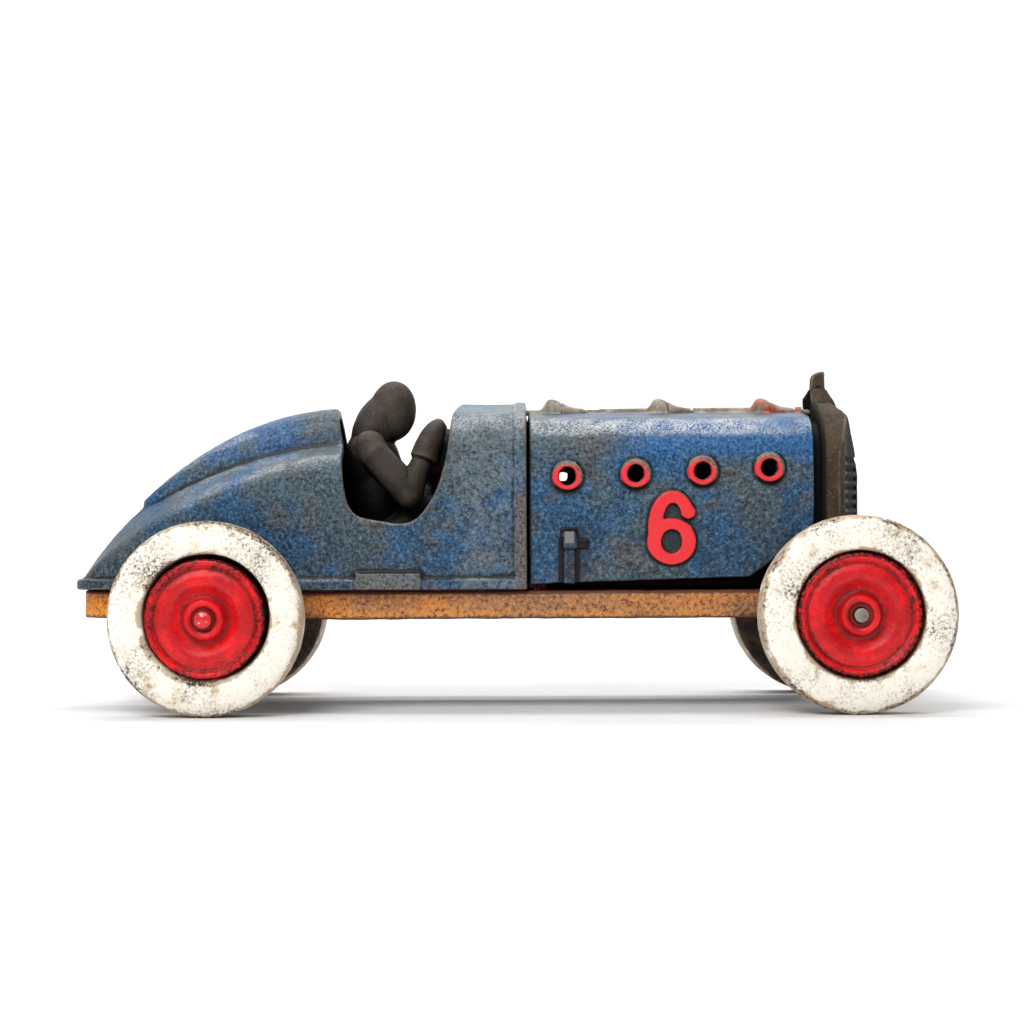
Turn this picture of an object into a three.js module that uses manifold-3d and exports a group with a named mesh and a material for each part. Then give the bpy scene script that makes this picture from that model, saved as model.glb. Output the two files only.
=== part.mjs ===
// A cast-iron toy racing car with a pair of lift-up bonnet doors, a seated driver and disc wheels.
// Millimetres. +X is the way the car faces, +Y its left side, +Z up.
// The origin is on the ground, midway between the tail's tip and the front of the front tyres.
import * as THREE from "three";
import { mergeVertices } from "three/addons/utils/BufferGeometryUtils.js";
import Module from "manifold-3d";

const wasm = await Module();
wasm.setup();

// ---- Driving dimensions ----
const GAP = 0.3; // between pieces that touch

const REAR_AXLE = { x: -77.3, z: 25.8 };
const FRONT_AXLE = { x: 94.4, z: 26.2 }; // the front wheels are slightly larger
const AXLE_R = 1.75;
const AXLE_HOLE_R = 2.0;
const AXLE_HEAD_R = 2.5;
const AXLE_HEAD_LENGTH = 0.9;

const TYRE_R = REAR_AXLE.z;
const FRONT_WHEEL_SCALE = FRONT_AXLE.z / REAR_AXLE.z;
const TYRE_BORE_R = 16.4;
const TYRE_INNER_Y = 31.6;
const TYRE_OUTER_Y = 44.0;
const DISC_R = 16.1;
const HUB_INNER_Y = 26.2;
const HUB_OUTER_Y = 44.4;

const CHASSIS_BOTTOM = 24.8;
const CHASSIS_TOP = 32.4;
const CHASSIS_WALL = 2.2;
const CHASSIS_PLATE = 2.0;
const CHASSIS_INSET = 1.2; // from the body's side to the chassis's side
const CHASSIS_FRONT_X = 98;
const LUG_R = 5.4;

const BODY_BASE = CHASSIS_TOP + GAP;
const BODY_HALF_WIDTH = 26.5;
const BODY_WALL = 2.4;
const BODY_TAIL_X = -117.0;
const TAPER_START_X = -40;
const TAIL_HALF_WIDTH = 9;
const COWL_FRONT_X = 7.6;
const COWL_TOP = 84;
const COWL_SHOULDER_Z = 79.6;
const RIM_GROW = 0.8; // how far the cowl's front rim stands proud
const BEAD_GROW = 1.3; // how far the bottom bead stands proud at the tail
const BEAD_HEIGHT = 2.8;

const HINGE_Z = 81.4;
const ROD_R = 0.8;
const KNUCKLE_HOLE_R = 1.1;
const DOOR_REAR_X = 8.1;
const DOOR_FRONT_X = 84.8;
const DOOR_HALF_WIDTH = 25.7;
const DOOR_WALL = 2.2;
const DOOR_PEAK = 81.5;
const DOOR_SHOULDER_Z = 78.4;
const PORT_X = [18.4, 36.8, 54.8, 72.8];
const PORT_Z = [63.1, 63.7, 64.3, 65.1];
const PORT_R = 2.6;
const PORT_RING_R = 4.3;
const PORT_RING_HEIGHT = 1.5;
const KNUCKLE_X = [14.4, 44.3, 72.9];

const RADIATOR_BACK_X = 87.0;
const RADIATOR_NOSE_X = 100.9;
const RADIATOR_HALF_WIDTH = 26.2;

// ---- Materials ----
const paint = (colour, roughness, metalness = 0) =>
  new THREE.MeshStandardMaterial({ color: colour, roughness, metalness });
const bluePaint = paint(0x2b5f94, 0.45);
const orangePaint = paint(0xc0712b, 0.6);
const redPaint = paint(0xc41a1e, 0.35);
const whitePaint = paint(0xeee6d4, 0.7);
const bareIron = paint(0x4a433c, 0.6, 0.5);
const driverPaint = paint(0x3b342e, 0.6, 0.3);
const steel = paint(0x9a968e, 0.35, 0.9);
const goldPaint = paint(0xa8833a, 0.5, 0.3);

// ---- Solid helpers ----
function solid(geometry) {
  const bare = geometry.index ? geometry.toNonIndexed() : geometry.clone();
  bare.deleteAttribute("normal");
  bare.deleteAttribute("uv");
  const merged = mergeVertices(bare, 1e-4);
  return new wasm.Manifold(
    new wasm.Mesh({
      numProp: 3,
      vertProperties: merged.attributes.position.array,
      triVerts: new Uint32Array(merged.index.array),
    }),
  );
}

function geometryOf(manifold) {
  const made = manifold.getMesh();
  const positions = new Float32Array(made.numVert * 3);
  for (let i = 0; i < made.numVert; i++) {
    positions.set(made.vertProperties.subarray(i * made.numProp, i * made.numProp + 3), i * 3);
  }
  const geometry = new THREE.BufferGeometry();
  geometry.setAttribute("position", new THREE.BufferAttribute(positions, 3));
  geometry.setIndex(new THREE.BufferAttribute(new Uint32Array(made.triVerts), 1));
  geometry.computeVertexNormals();
  return geometry;
}

const join = (...solids) => solids.reduce((all, next) => all.add(next));
const cut = (from, ...tools) => tools.reduce((left, tool) => left.subtract(tool), from);

const box = (x0, x1, y0, y1, z0, z1) =>
  solid(
    new THREE.BoxGeometry(x1 - x0, y1 - y0, z1 - z0).translate(
      (x0 + x1) / 2,
      (y0 + y1) / 2,
      (z0 + z1) / 2,
    ),
  );

// A cylinder from one point to another, with its own radius at each end.
function rod(from, to, r0, r1 = r0, sides = 16) {
  const a = new THREE.Vector3(...from);
  const b = new THREE.Vector3(...to);
  const along = b.clone().sub(a);
  const geometry = new THREE.CylinderGeometry(r1, r0, along.length(), sides);
  const turn = new THREE.Quaternion().setFromUnitVectors(
    new THREE.Vector3(0, 1, 0),
    along.clone().normalize(),
  );
  const middle = a.add(b).multiplyScalar(0.5);
  return solid(geometry.applyQuaternion(turn).translate(middle.x, middle.y, middle.z));
}

// An ellipsoid, tilted about Y by an angle in degrees.
function ball(centre, radii, tilt = 0, detail = 14) {
  const geometry = new THREE.SphereGeometry(1, detail, Math.round(detail * 0.7));
  geometry.scale(...radii);
  geometry.rotateY(THREE.MathUtils.degToRad(tilt));
  return solid(geometry.translate(...centre));
}

// A shape drawn in X and Z, extruded along Y from y0 to y1.
function slabXZ(shape, y0, y1, curveSegments = 8) {
  const geometry = new THREE.ExtrudeGeometry(shape, {
    depth: y1 - y0,
    bevelEnabled: false,
    curveSegments,
  });
  return solid(geometry.rotateX(Math.PI / 2).translate(0, y1, 0));
}

// A shape drawn in Y and Z, extruded along X from x0 to x1.
function slabYZ(shape, x0, x1, curveSegments = 6) {
  const geometry = new THREE.ExtrudeGeometry(shape, {
    depth: x1 - x0,
    bevelEnabled: false,
    curveSegments,
  });
  const turn = new THREE.Matrix4().makeBasis(
    new THREE.Vector3(0, 1, 0),
    new THREE.Vector3(0, 0, 1),
    new THREE.Vector3(1, 0, 0),
  );
  return solid(geometry.applyMatrix4(turn).translate(x0, 0, 0));
}

// A shape drawn in X and Y, extruded up from z0 to z1.
function slabXY(shape, z0, z1) {
  const geometry = new THREE.ExtrudeGeometry(shape, { depth: z1 - z0, bevelEnabled: false });
  return solid(geometry.translate(0, 0, z0));
}

// Turns a [radius, distance] outline round the Y axis.
function turned(outline, segments) {
  return solid(new THREE.LatheGeometry(outline.map(([r, y]) => new THREE.Vector2(r, y)), segments));
}

// Skins closed rings of equal length, each at its own x, and closes both ends.
function loft(rings) {
  const count = rings[0].length;
  const positions = [];
  const index = [];
  rings.forEach(({ length }, i) => {
    for (let k = 0; k < length; k++) positions.push(...rings[i][k]);
  });
  for (let i = 0; i + 1 < rings.length; i++) {
    for (let k = 0; k < count; k++) {
      const a = i * count + k;
      const b = i * count + ((k + 1) % count);
      index.push(a, b, a + count, b, b + count, a + count);
    }
  }
  [0, rings.length - 1].forEach((end) => {
    const centre = positions.length / 3;
    const sum = rings[end].reduce((s, p) => [s[0] + p[0], s[1] + p[1], s[2] + p[2]], [0, 0, 0]);
    positions.push(...sum.map((v) => v / count));
    for (let k = 0; k < count; k++) {
      const a = end * count + k;
      const b = end * count + ((k + 1) % count);
      if (end === 0) index.push(centre, b, a);
      else index.push(centre, a, b);
    }
  });
  const geometry = new THREE.BufferGeometry();
  geometry.setAttribute("position", new THREE.Float32BufferAttribute(positions, 3));
  geometry.setIndex(index);
  return solid(geometry);
}

const polygon = (points) => new THREE.Shape(points.map(([a, b]) => new THREE.Vector2(a, b)));
const lerp = THREE.MathUtils.lerp;
const smooth = (a, b, x) => THREE.MathUtils.smoothstep(x, a, b);
const range = (from, to, steps) =>
  Array.from({ length: steps + 1 }, (_, i) => lerp(from, to, i / steps));

// ---- The body's outer form ----
const bezier = (...points) =>
  new THREE.CubicBezierCurve(...points.map(([x, z]) => new THREE.Vector2(x, z)));
const deckLine = bezier([-42, 75.4], [-71.5, 75.4], [-100, 64], [BODY_TAIL_X, 35]);
const shoulderLine = bezier([-42, 68.6], [-66, 68], [-97, 52], [BODY_TAIL_X, 34.5]);
const spineLine = bezier([-42, 82.9], [-74, 82.9], [-103.5, 59.2], [BODY_TAIL_X, 35]);

// The height of a line that runs back from the cockpit to the tail, at x.
function heightAt(line, x) {
  let low = 0;
  let high = 1;
  for (let i = 0; i < 24; i++) {
    const middle = (low + high) / 2;
    if (line.getPoint(middle).x > x) low = middle;
    else high = middle;
  }
  return line.getPoint(low).y;
}

// Half the body's width in plan: straight sides, a tapering tail and a blunt, round-cornered end.
function halfWidth(x, grow = 0) {
  const tail = BODY_TAIL_X - grow;
  const t = Math.max(0, (TAPER_START_X - x) / (TAPER_START_X - tail));
  const taper = BODY_HALF_WIDTH + grow - (BODY_HALF_WIDTH - TAIL_HALF_WIDTH) * t ** 1.9;
  const cornerR = 3;
  const past = Math.max(0, Math.min(1, (tail + cornerR - x) / cornerR));
  return taper - cornerR * (1 - Math.sqrt(1 - past * past));
}

// One cross-section of the body. The tail's section turns into the cowl's across the cockpit.
function bodySection(x, grow, base) {
  const cowl = smooth(-36, -20, x);
  const back = Math.max(BODY_TAIL_X, x + 0.8 * grow);
  const width = halfWidth(Math.max(x, BODY_TAIL_X - grow), grow);
  const top = [0, lerp(heightAt(deckLine, back), COWL_TOP, cowl) + 0.8 * grow];
  const shoulder = lerp(heightAt(shoulderLine, back), COWL_SHOULDER_Z, cowl) + 0.8 * grow;
  const corner = [width * lerp(0.93, 0.994, cowl), Math.max(shoulder, BODY_BASE + 0.6)];
  const foot = [width, base];
  const setback = Math.min(lerp(4, 12, cowl), 0.4 * corner[0], 0.45 * (corner[1] - BODY_BASE));
  const towards = (to) => {
    const d = Math.hypot(to[0] - corner[0], to[1] - corner[1]);
    return corner.map((c, i) => c + ((to[i] - c) * Math.min(setback, 0.9 * d)) / d);
  };
  const side = towards(foot);
  const deck = towards(top);
  const round = new THREE.QuadraticBezierCurve(
    new THREE.Vector2(...side),
    new THREE.Vector2(...corner),
    new THREE.Vector2(...deck),
  );
  const half = [foot, ...round.getPoints(5).map((p) => [p.x, p.y]), top];
  const other = half.slice(0, -1).reverse().map(([y, z]) => [-y, z]);
  return [...half, ...other].map(([y, z]) => [x, y, z]);
}

function bodyForm(grow, base, xFront) {
  const tail = BODY_TAIL_X - grow;
  const stations = [
    ...[0, 0.3, 1, 2, 3].map((d) => tail + d),
    ...range(-112, -44, 9),
    ...range(-36, -20, 2),
    xFront,
  ];
  return loft(stations.map((x) => bodySection(x, grow, base)));
}

// The head fairing that runs down the middle of the tail.
const SPINE_END_X = -104;
function spineForm(grow, xFront, xRear) {
  const rings = range(xFront, xRear, 8).reverse().map((x) => {
    const t = Math.max(0, (-42 - x) / (-42 - SPINE_END_X));
    const width = 10.4 * (1 - t ** 2.2) ** 0.6 + 0.8 + grow;
    const top = heightAt(spineLine, x) + grow;
    const foot = heightAt(deckLine, x) - 9;
    return range(0, Math.PI, 8).map((a) => {
      const c = Math.cos(a);
      const s = Math.sin(a);
      return [x, width * Math.sign(c) * Math.abs(c) ** 0.62, foot + (top - foot) * s ** 0.62];
    });
  });
  return loft(rings);
}

const cockpitMouth = new THREE.Shape()
  .moveTo(-45.4, 96)
  .lineTo(-42.7, 70)
  .bezierCurveTo(-42.1, 60, -41.7, 52.9, -36.6, 52.1)
  .bezierCurveTo(-33, 51.6, -30, 50.6, -26.5, 50.6)
  .bezierCurveTo(-20, 50.6, -14.7, 60.5, -13.2, 76)
  .bezierCurveTo(-12.8, 81, -11.8, 84.2, -8.5, 84.7)
  .lineTo(-8.5, 96);

const SCREW_R = 1.25;
const SCREW_HOLE_R = 1.55;
const BODY_SCREWS = [
  [-4, 19.2],
  [-64, 17.6],
];

function bodyCasting() {
  const rim = cut(bodyForm(RIM_GROW, BODY_BASE, COWL_FRONT_X), box(-200, 4.8, -50, 50, 0, 100));
  const bead = bodyForm(BEAD_GROW, BODY_BASE, COWL_FRONT_X).intersect(
    box(-130, COWL_FRONT_X, -50, 50, 0, BODY_BASE + BEAD_HEIGHT),
  );
  const outside = join(bodyForm(0, BODY_BASE, COWL_FRONT_X), rim, bead, spineForm(0, -42, SPINE_END_X));
  const hollow = bodyForm(-BODY_WALL, 0, 4.4);
  const frontHole = cut(bodyForm(-5.5, 0, 20), box(-200, 3, -50, 50, -10, 100));
  const spineHollow = spineForm(-BODY_WALL, -30, -94);
  const bosses = BODY_SCREWS.flatMap(([x, y]) =>
    [-1, 1].map((side) => {
      const web = box(x - 3.2, x + 3.2, ...sorted(side * y, side * 30), BODY_BASE, 44);
      return join(rod([x, side * y, BODY_BASE], [x, side * y, 44], 3.2), web);
    }),
  );
  const steps = [-1, 1].map((side) =>
    box(-38.7, -21.3, ...sorted(side * 25, side * 28), BODY_BASE + 0.2, BODY_BASE + 4.6),
  );
  const rodSeat = box(1.5, COWL_FRONT_X, -4, 4, 74, COWL_TOP - 1);
  const shell = cut(outside, hollow, frontHole, spineHollow);
  return cut(
    join(shell, rodSeat, lip(4.4, COWL_FRONT_X + 1.8), join(...bosses).intersect(bodyForm(-1, 0, 4)), ...steps),
    slabXZ(cockpitMouth, -60, 60),
    rod([3, 0, HINGE_Z], [20, 0, HINGE_Z], KNUCKLE_HOLE_R, KNUCKLE_HOLE_R, 12),
    ...BODY_SCREWS.flatMap(([x, y]) =>
      [-y, y].map((side) => rod([x, side, 20], [x, side, 42], SCREW_HOLE_R, SCREW_HOLE_R, 12)),
    ),
  );
}

const sorted = (...values) => values.sort((a, b) => a - b);

// The two halves meet on the middle plane.
function bodyHalf(casting, side) {
  return casting.intersect(box(-130, 20, ...sorted(side * (GAP / 2), side * 60), 0, 100));
}

// ---- Chassis: a shallow tray, open underneath, with ears that carry the axles ----
const ENGINE_RIVETS = [30, 72];
const DRIVER_RIVET_X = -30;
const RADIATOR_SCREW_X = 91.2;
const CHASSIS_HOLES = [
  ...BODY_SCREWS.flatMap(([x, y]) => [
    [x, y],
    [x, -y],
  ]),
  ...ENGINE_RIVETS.map((x) => [x, 0]),
  [DRIVER_RIVET_X, 0],
  [RADIATOR_SCREW_X, 0],
];

function chassisPlan(inset) {
  const tail = BODY_TAIL_X + inset;
  const rear = [0, 0.4, 1.2, 2.2, 3, 8, 16, 26, 38, 52, 66, 78.9];
  const edge = rear.map((d) => [tail + d, halfWidth(BODY_TAIL_X + d + 0.01) - inset]);
  edge.push([84, BODY_HALF_WIDTH - inset]);
  edge.push([CHASSIS_FRONT_X - 4 - inset, 23.5 - inset]);
  edge.push([CHASSIS_FRONT_X - inset, 20 - inset]);
  const mirrored = [...edge].reverse().map(([x, y]) => [x, -y]);
  return polygon([...mirrored, ...edge].reverse());
}

function chassisCasting() {
  const outer = slabXY(chassisPlan(CHASSIS_INSET), CHASSIS_BOTTOM, CHASSIS_TOP);
  const inside = slabXY(
    chassisPlan(CHASSIS_INSET + CHASSIS_WALL),
    0,
    CHASSIS_TOP - CHASSIS_PLATE,
  );
  const lugs = [];
  for (const { x, z } of [REAR_AXLE, FRONT_AXLE]) {
    const outerY = x < 0 ? halfWidth(x) - CHASSIS_INSET + 1.8 : 25;
    for (const side of [-1, 1]) {
      const ear = rod([x, side * 18.5, z], [x, side * outerY, z], LUG_R, LUG_R, 20);
      lugs.push(cut(ear, box(x - 9, x + 9, -40, 40, CHASSIS_TOP - 1, 60)));
    }
  }
  const bores = [REAR_AXLE, FRONT_AXLE].map(({ x, z }) =>
    rod([x, -40, z], [x, 40, z], AXLE_HOLE_R, AXLE_HOLE_R, 24),
  );
  const holes = CHASSIS_HOLES.map(([x, y]) => rod([x, y, 10], [x, y, 50], SCREW_HOLE_R, SCREW_HOLE_R, 12));
  return cut(join(cut(outer, inside), ...lugs), ...bores, ...holes);
}

// ---- Fasteners, seen from under the chassis ----
const HEAD_TOP = CHASSIS_TOP - CHASSIS_PLATE - GAP;

function screw(top) {
  const head = rod([0, 0, HEAD_TOP - 1.4], [0, 0, HEAD_TOP], 2.2, 3, 16);
  const shank = rod([0, 0, HEAD_TOP - 0.1], [0, 0, top], SCREW_R, SCREW_R, 12);
  return cut(join(head, shank), box(-4, 4, -0.4, 0.4, HEAD_TOP - 2, HEAD_TOP - 0.8));
}

function rivet(top) {
  const head = rod([0, 0, HEAD_TOP - 1.2], [0, 0, HEAD_TOP], 1.6, 2.8, 16);
  return join(head, rod([0, 0, HEAD_TOP - 0.1], [0, 0, top], SCREW_R, SCREW_R, 12));
}

// ---- Engine: one casting with a bell housing, a block, four cylinders and a cover ----
const CYLINDER_X = [30, 43, 56, 69];

function engineCasting() {
  const base = CHASSIS_TOP + GAP;
  const block = box(20, 80, -9.5, 9.5, base, 50);
  const housing = box(13, 22, -10.5, 10.5, base, 62.2);
  const cylinders = CYLINDER_X.map((x) => rod([x, 0, 48], [x, 0, 63], 5.8, 5.8, 16));
  const cover = box(19.2, 78, -5.6, 5.6, 61, 70);
  const blocks = join(block, housing, ...cylinders, cover);
  const holes = ENGINE_RIVETS.map((x) => rod([x, 0, 20], [x, 0, 41], SCREW_HOLE_R, SCREW_HOLE_R, 12));
  return cut(blocks, ...holes);
}

// ---- Bonnet doors ----
// One half of the doors' arched outline, grown outwards.
function archLine(grow, foot = 30) {
  const corner = [DOOR_HALF_WIDTH - 0.2 + grow, DOOR_SHOULDER_Z + grow];
  const peak = [0, DOOR_PEAK + grow];
  const setback = 11 + grow;
  const slope = Math.hypot(corner[0], peak[1] - corner[1]);
  const deck = [
    corner[0] - (corner[0] * setback) / slope,
    corner[1] + ((peak[1] - corner[1]) * setback) / slope,
  ];
  const round = new THREE.QuadraticBezierCurve(
    new THREE.Vector2(corner[0], corner[1] - setback),
    new THREE.Vector2(...corner),
    new THREE.Vector2(...deck),
  );
  const curve = round.getPoints(6).map((p) => [p.x, p.y]);
  return [[DOOR_HALF_WIDTH + grow, foot], ...curve, [1.4, peak[1] - 0.2]];
}

// A door's cross-section on its own side of the middle plane, as a band one wall thick.
function doorBand(side) {
  return polygon([...archLine(0), ...archLine(-DOOR_WALL).reverse()].map(([y, z]) => [side * y, z]));
}

// The whole arch as a solid.
function archSlab(grow, foot, x0, x1) {
  const half = archLine(grow, foot);
  return slabYZ(polygon([...half, ...half.map(([y, z]) => [-y, z]).reverse()]), x0, x1);
}

// An arched rib that closes off an end of the engine bay just inside the doors.
const LIP_GROW = -DOOR_WALL - 0.4;
const LIP_WALL = 1.3;
const bayOpening = () => archSlab(LIP_GROW - LIP_WALL, 0, 0, 95);
const lip = (x0, x1) => cut(archSlab(LIP_GROW, BODY_BASE, x0, x1), bayOpening());

// The part of a door's blank that is cut away below its bottom edge and front lower corner.
const doorTrim = polygon([
  [0, 0],
  [120, 0],
  [120, 74],
  [DOOR_FRONT_X, 48.6],
  [67.5, 35.9],
  [0, 33.9],
]);

// A knuckle's radius at a distance ahead of its peak: a steep back and a long tapering tail.
const KNUCKLE_PROFILE = [
  [-3.2, 1.7],
  [-2.2, 2.7],
  [-1, 3.5],
  [0, 3.7],
  [1.2, 3.4],
  [2.6, 2.6],
];
const TAIL_PROFILE = [
  [2.9, 2.5],
  [5, 1.9],
  [9, 1.5],
];

function knuckle(profile, x) {
  const outline = [[0, profile[0][0]], ...profile.map(([d, r]) => [r, d]), [0, profile.at(-1)[0]]];
  const geometry = new THREE.LatheGeometry(
    outline.map(([r, d]) => new THREE.Vector2(r, d)),
    14,
  );
  return solid(geometry.rotateZ(-Math.PI / 2).translate(x, 0, HINGE_Z));
}

// The racing number, drawn about its own middle. The viewer's right is +1 or -1 along X.
function numeral(viewerRight, y0, y1) {
  const at = (x, z) => [46.3 + viewerRight * x, 48.8 + z];
  const arc = (cx, cz, rx, rz, from, to, steps) =>
    range(from, to, steps).map((a) => at(cx + rx * Math.cos(a), cz + rz * Math.sin(a)));
  const ordered = (points) => (viewerRight > 0 ? points : [...points].reverse());
  const bowl = polygon(ordered(arc(0, -3.8, 6.5, 6.1, 0, 2 * Math.PI, 22).slice(0, -1)));
  const eye = polygon(ordered(arc(0, -3.7, 2.75, 3.4, 0, 2 * Math.PI, 16).slice(0, -1)));
  const hook = polygon(
    ordered([
      ...arc(0.1, 0, 6.6, 9.9, 0.62, Math.PI + 0.25, 12),
      ...arc(0.1, 0, 3.1, 7.1, Math.PI + 0.25, 0.62, 10),
    ]),
  );
  return cut(
    join(slabXZ(bowl, y0, y1), slabXZ(hook, y0, y1)),
    slabXZ(eye, Math.min(y0, y1) - 1, Math.max(y0, y1) + 1),
  );
}

function bonnetDoor(side) {
  const face = DOOR_HALF_WIDTH - 0.1; // the side wall's outer face
  const out = (from, to) => sorted(side * from, side * to);
  const own = side < 0 ? KNUCKLE_PROFILE : TAIL_PROFILE;
  const other = side < 0 ? TAIL_PROFILE : KNUCKLE_PROFILE;
  const [y0, y1] = out(face - 1, face + 1);
  let door = slabYZ(doorBand(side), DOOR_REAR_X, DOOR_FRONT_X);
  door = cut(door, slabXZ(doorTrim, -60, 60));
  const rings = PORT_X.map((x, i) =>
    rod([x, side * (face - 1), PORT_Z[i]], [x, side * (face + PORT_RING_HEIGHT), PORT_Z[i]], PORT_RING_R, PORT_RING_R - 0.5, 20),
  );
  const grip = join(
    box(17.2, 20.4, ...out(face - 1, face + 1.6), 34.6, 45),
    rod([18.8, side * (face - 1), 46.2], [18.8, side * (face + 2.2), 46.2], 2.4, 2, 14),
    rod([22.4, side * (face - 1), 45.2], [22.4, side * (face + 1.4), 45.2], 1.7, 1.4, 12),
    box(18.8, 22.4, ...out(face - 1, face + 1), 44.4, 46),
  );
  door = join(door, ...rings, grip, numeral(-side, y0, y1));
  // The middle edge stands clear of the rod, and further clear of the other door's knuckles.
  const reach = (x0, x1, r) => box(x0, x1, -r, r, HINGE_Z - 6, HINGE_Z + 6);
  const notches = KNUCKLE_X.map((x) =>
    reach(x + other[0][0] - GAP, x + other.at(-1)[0] + GAP, 0.4 + Math.max(...other.map(([, r]) => r))),
  );
  door = cut(door, reach(0, 100, 1.25), ...notches);
  const leaves = KNUCKLE_X.map((x) => knuckle(own, x));
  const webs = KNUCKLE_X.map((x) =>
    box(x + own[0][0], x + own.at(-1)[0], ...out(0.9, 4), HINGE_Z - 1.9, HINGE_Z - 0.3),
  );
  door = join(door, ...leaves, ...webs);
  const ports = PORT_X.map((x, i) =>
    rod([x, side * 20, PORT_Z[i]], [x, side * 40, PORT_Z[i]], PORT_R, PORT_R, 16),
  );
  return cut(
    door,
    ...ports,
    rod([0, 0, HINGE_Z], [100, 0, HINGE_Z], KNUCKLE_HOLE_R, KNUCKLE_HOLE_R, 12),
  );
}

// ---- Radiator: a hollow casting with a vee front, slats and a filler cap ----
function radiatorForm(inset) {
  const width = RADIATOR_HALF_WIDTH - inset;
  const top = 82.3 - inset;
  const base = BODY_BASE + inset;
  const nose = RADIATOR_NOSE_X - inset;
  const front = new THREE.Shape()
    .moveTo(-width, base)
    .lineTo(width, base)
    .lineTo(width, 66 - inset)
    .bezierCurveTo(width, 78 - inset, 17 - inset, top - 1, 0, top + 2.6)
    .bezierCurveTo(-17 + inset, top - 1, -width, 78 - inset, -width, 66 - inset);
  const side = new THREE.Shape()
    .moveTo(RADIATOR_BACK_X - inset, base)
    .lineTo(nose, base)
    .lineTo(nose, 63 - inset)
    .bezierCurveTo(nose, 70, 98.3 - inset, 76, 95 - inset, top + 0.3)
    .lineTo(93 - inset, top + 3)
    .lineTo(RADIATOR_BACK_X - inset, top + 3);
  const plan = polygon([
    [RADIATOR_BACK_X - inset, -width],
    [90.4 - inset, -width],
    [92.2 - inset, 1.8 - width],
    [95.2 - inset, -15],
    [nose, -0.6],
    [nose, 0.6],
    [95.2 - inset, 15],
    [92.2 - inset, width - 1.8],
    [90.4 - inset, width],
    [RADIATOR_BACK_X - inset, width],
  ]);
  return slabYZ(front, 80, 110, 7).intersect(slabXZ(side, -40, 40, 7)).intersect(slabXY(plan, 0, 100));
}

function radiatorCasting() {
  const boss = rod([RADIATOR_SCREW_X, 0, BODY_BASE], [RADIATOR_SCREW_X, 0, 44], 3.4).intersect(
    box(80, 100, -10, 10, BODY_BASE, 50),
  );
  const flare = rod([89.4, 0, 80], [89.4, 0, 87.2], 5.4, 2.6, 16);
  const stem = box(87.4, 91.3, -1.9, 1.9, 84, 93);
  const fin = slabXZ(
    polygon([
      [85.2, HINGE_Z - 2],
      [88, HINGE_Z - 2],
      [88, 87.6],
      [86.4, 86.6],
      [85.2, 85],
    ]),
    -0.95,
    0.95,
  );
  const cap = cut(
    join(flare, stem, fin),
    box(70, RADIATOR_BACK_X, -9, -0.95, 70, 90),
    box(70, RADIATOR_BACK_X, 0.95, 9, 70, 90),
    box(70, 85.2, -9, 9, 70, 90),
  );
  const slats = [];
  const pitch = 2.55;
  for (const side of [-1, 1]) {
    for (let z = 37; z < 69; z += pitch) {
      const groove = new THREE.BoxGeometry(2.4, 15.4, 1.2);
      groove.rotateZ(side * Math.atan2(RADIATOR_NOSE_X - 95.2, 14.4));
      groove.translate(98.3, side * 7.6, z);
      slats.push(solid(groove));
    }
  }
  const flange = cut(
    radiatorForm(0).intersect(box(80, RADIATOR_BACK_X + 1.4, -40, 40, 0, 100)),
    bayOpening(),
  );
  const shell = join(
    cut(radiatorForm(0), radiatorForm(2.6)),
    flange,
    lip(DOOR_FRONT_X - 0.8, RADIATOR_BACK_X + 1.4),
  );
  const rodHole = rod([80, 0, HINGE_Z], [90, 0, HINGE_Z], KNUCKLE_HOLE_R, KNUCKLE_HOLE_R, 12);
  const screwHole = rod([RADIATOR_SCREW_X, 0, 20], [RADIATOR_SCREW_X, 0, 42], SCREW_HOLE_R, SCREW_HOLE_R, 12);
  return cut(join(shell, boss, cap), ...slats, rodHole, screwHole);
}

// ---- Driver: one casting, hands on the steering wheel ----
function limb(points, radii) {
  const parts = [];
  for (let i = 0; i + 1 < points.length; i++) {
    parts.push(rod(points[i], points[i + 1], radii[i], radii[i + 1], 8));
    parts.push(ball(points[i + 1], [radii[i + 1], radii[i + 1], radii[i + 1]], 0, 8));
  }
  return join(ball(points[0], [radii[0], radii[0], radii[0]], 0, 8), ...parts);
}

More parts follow.
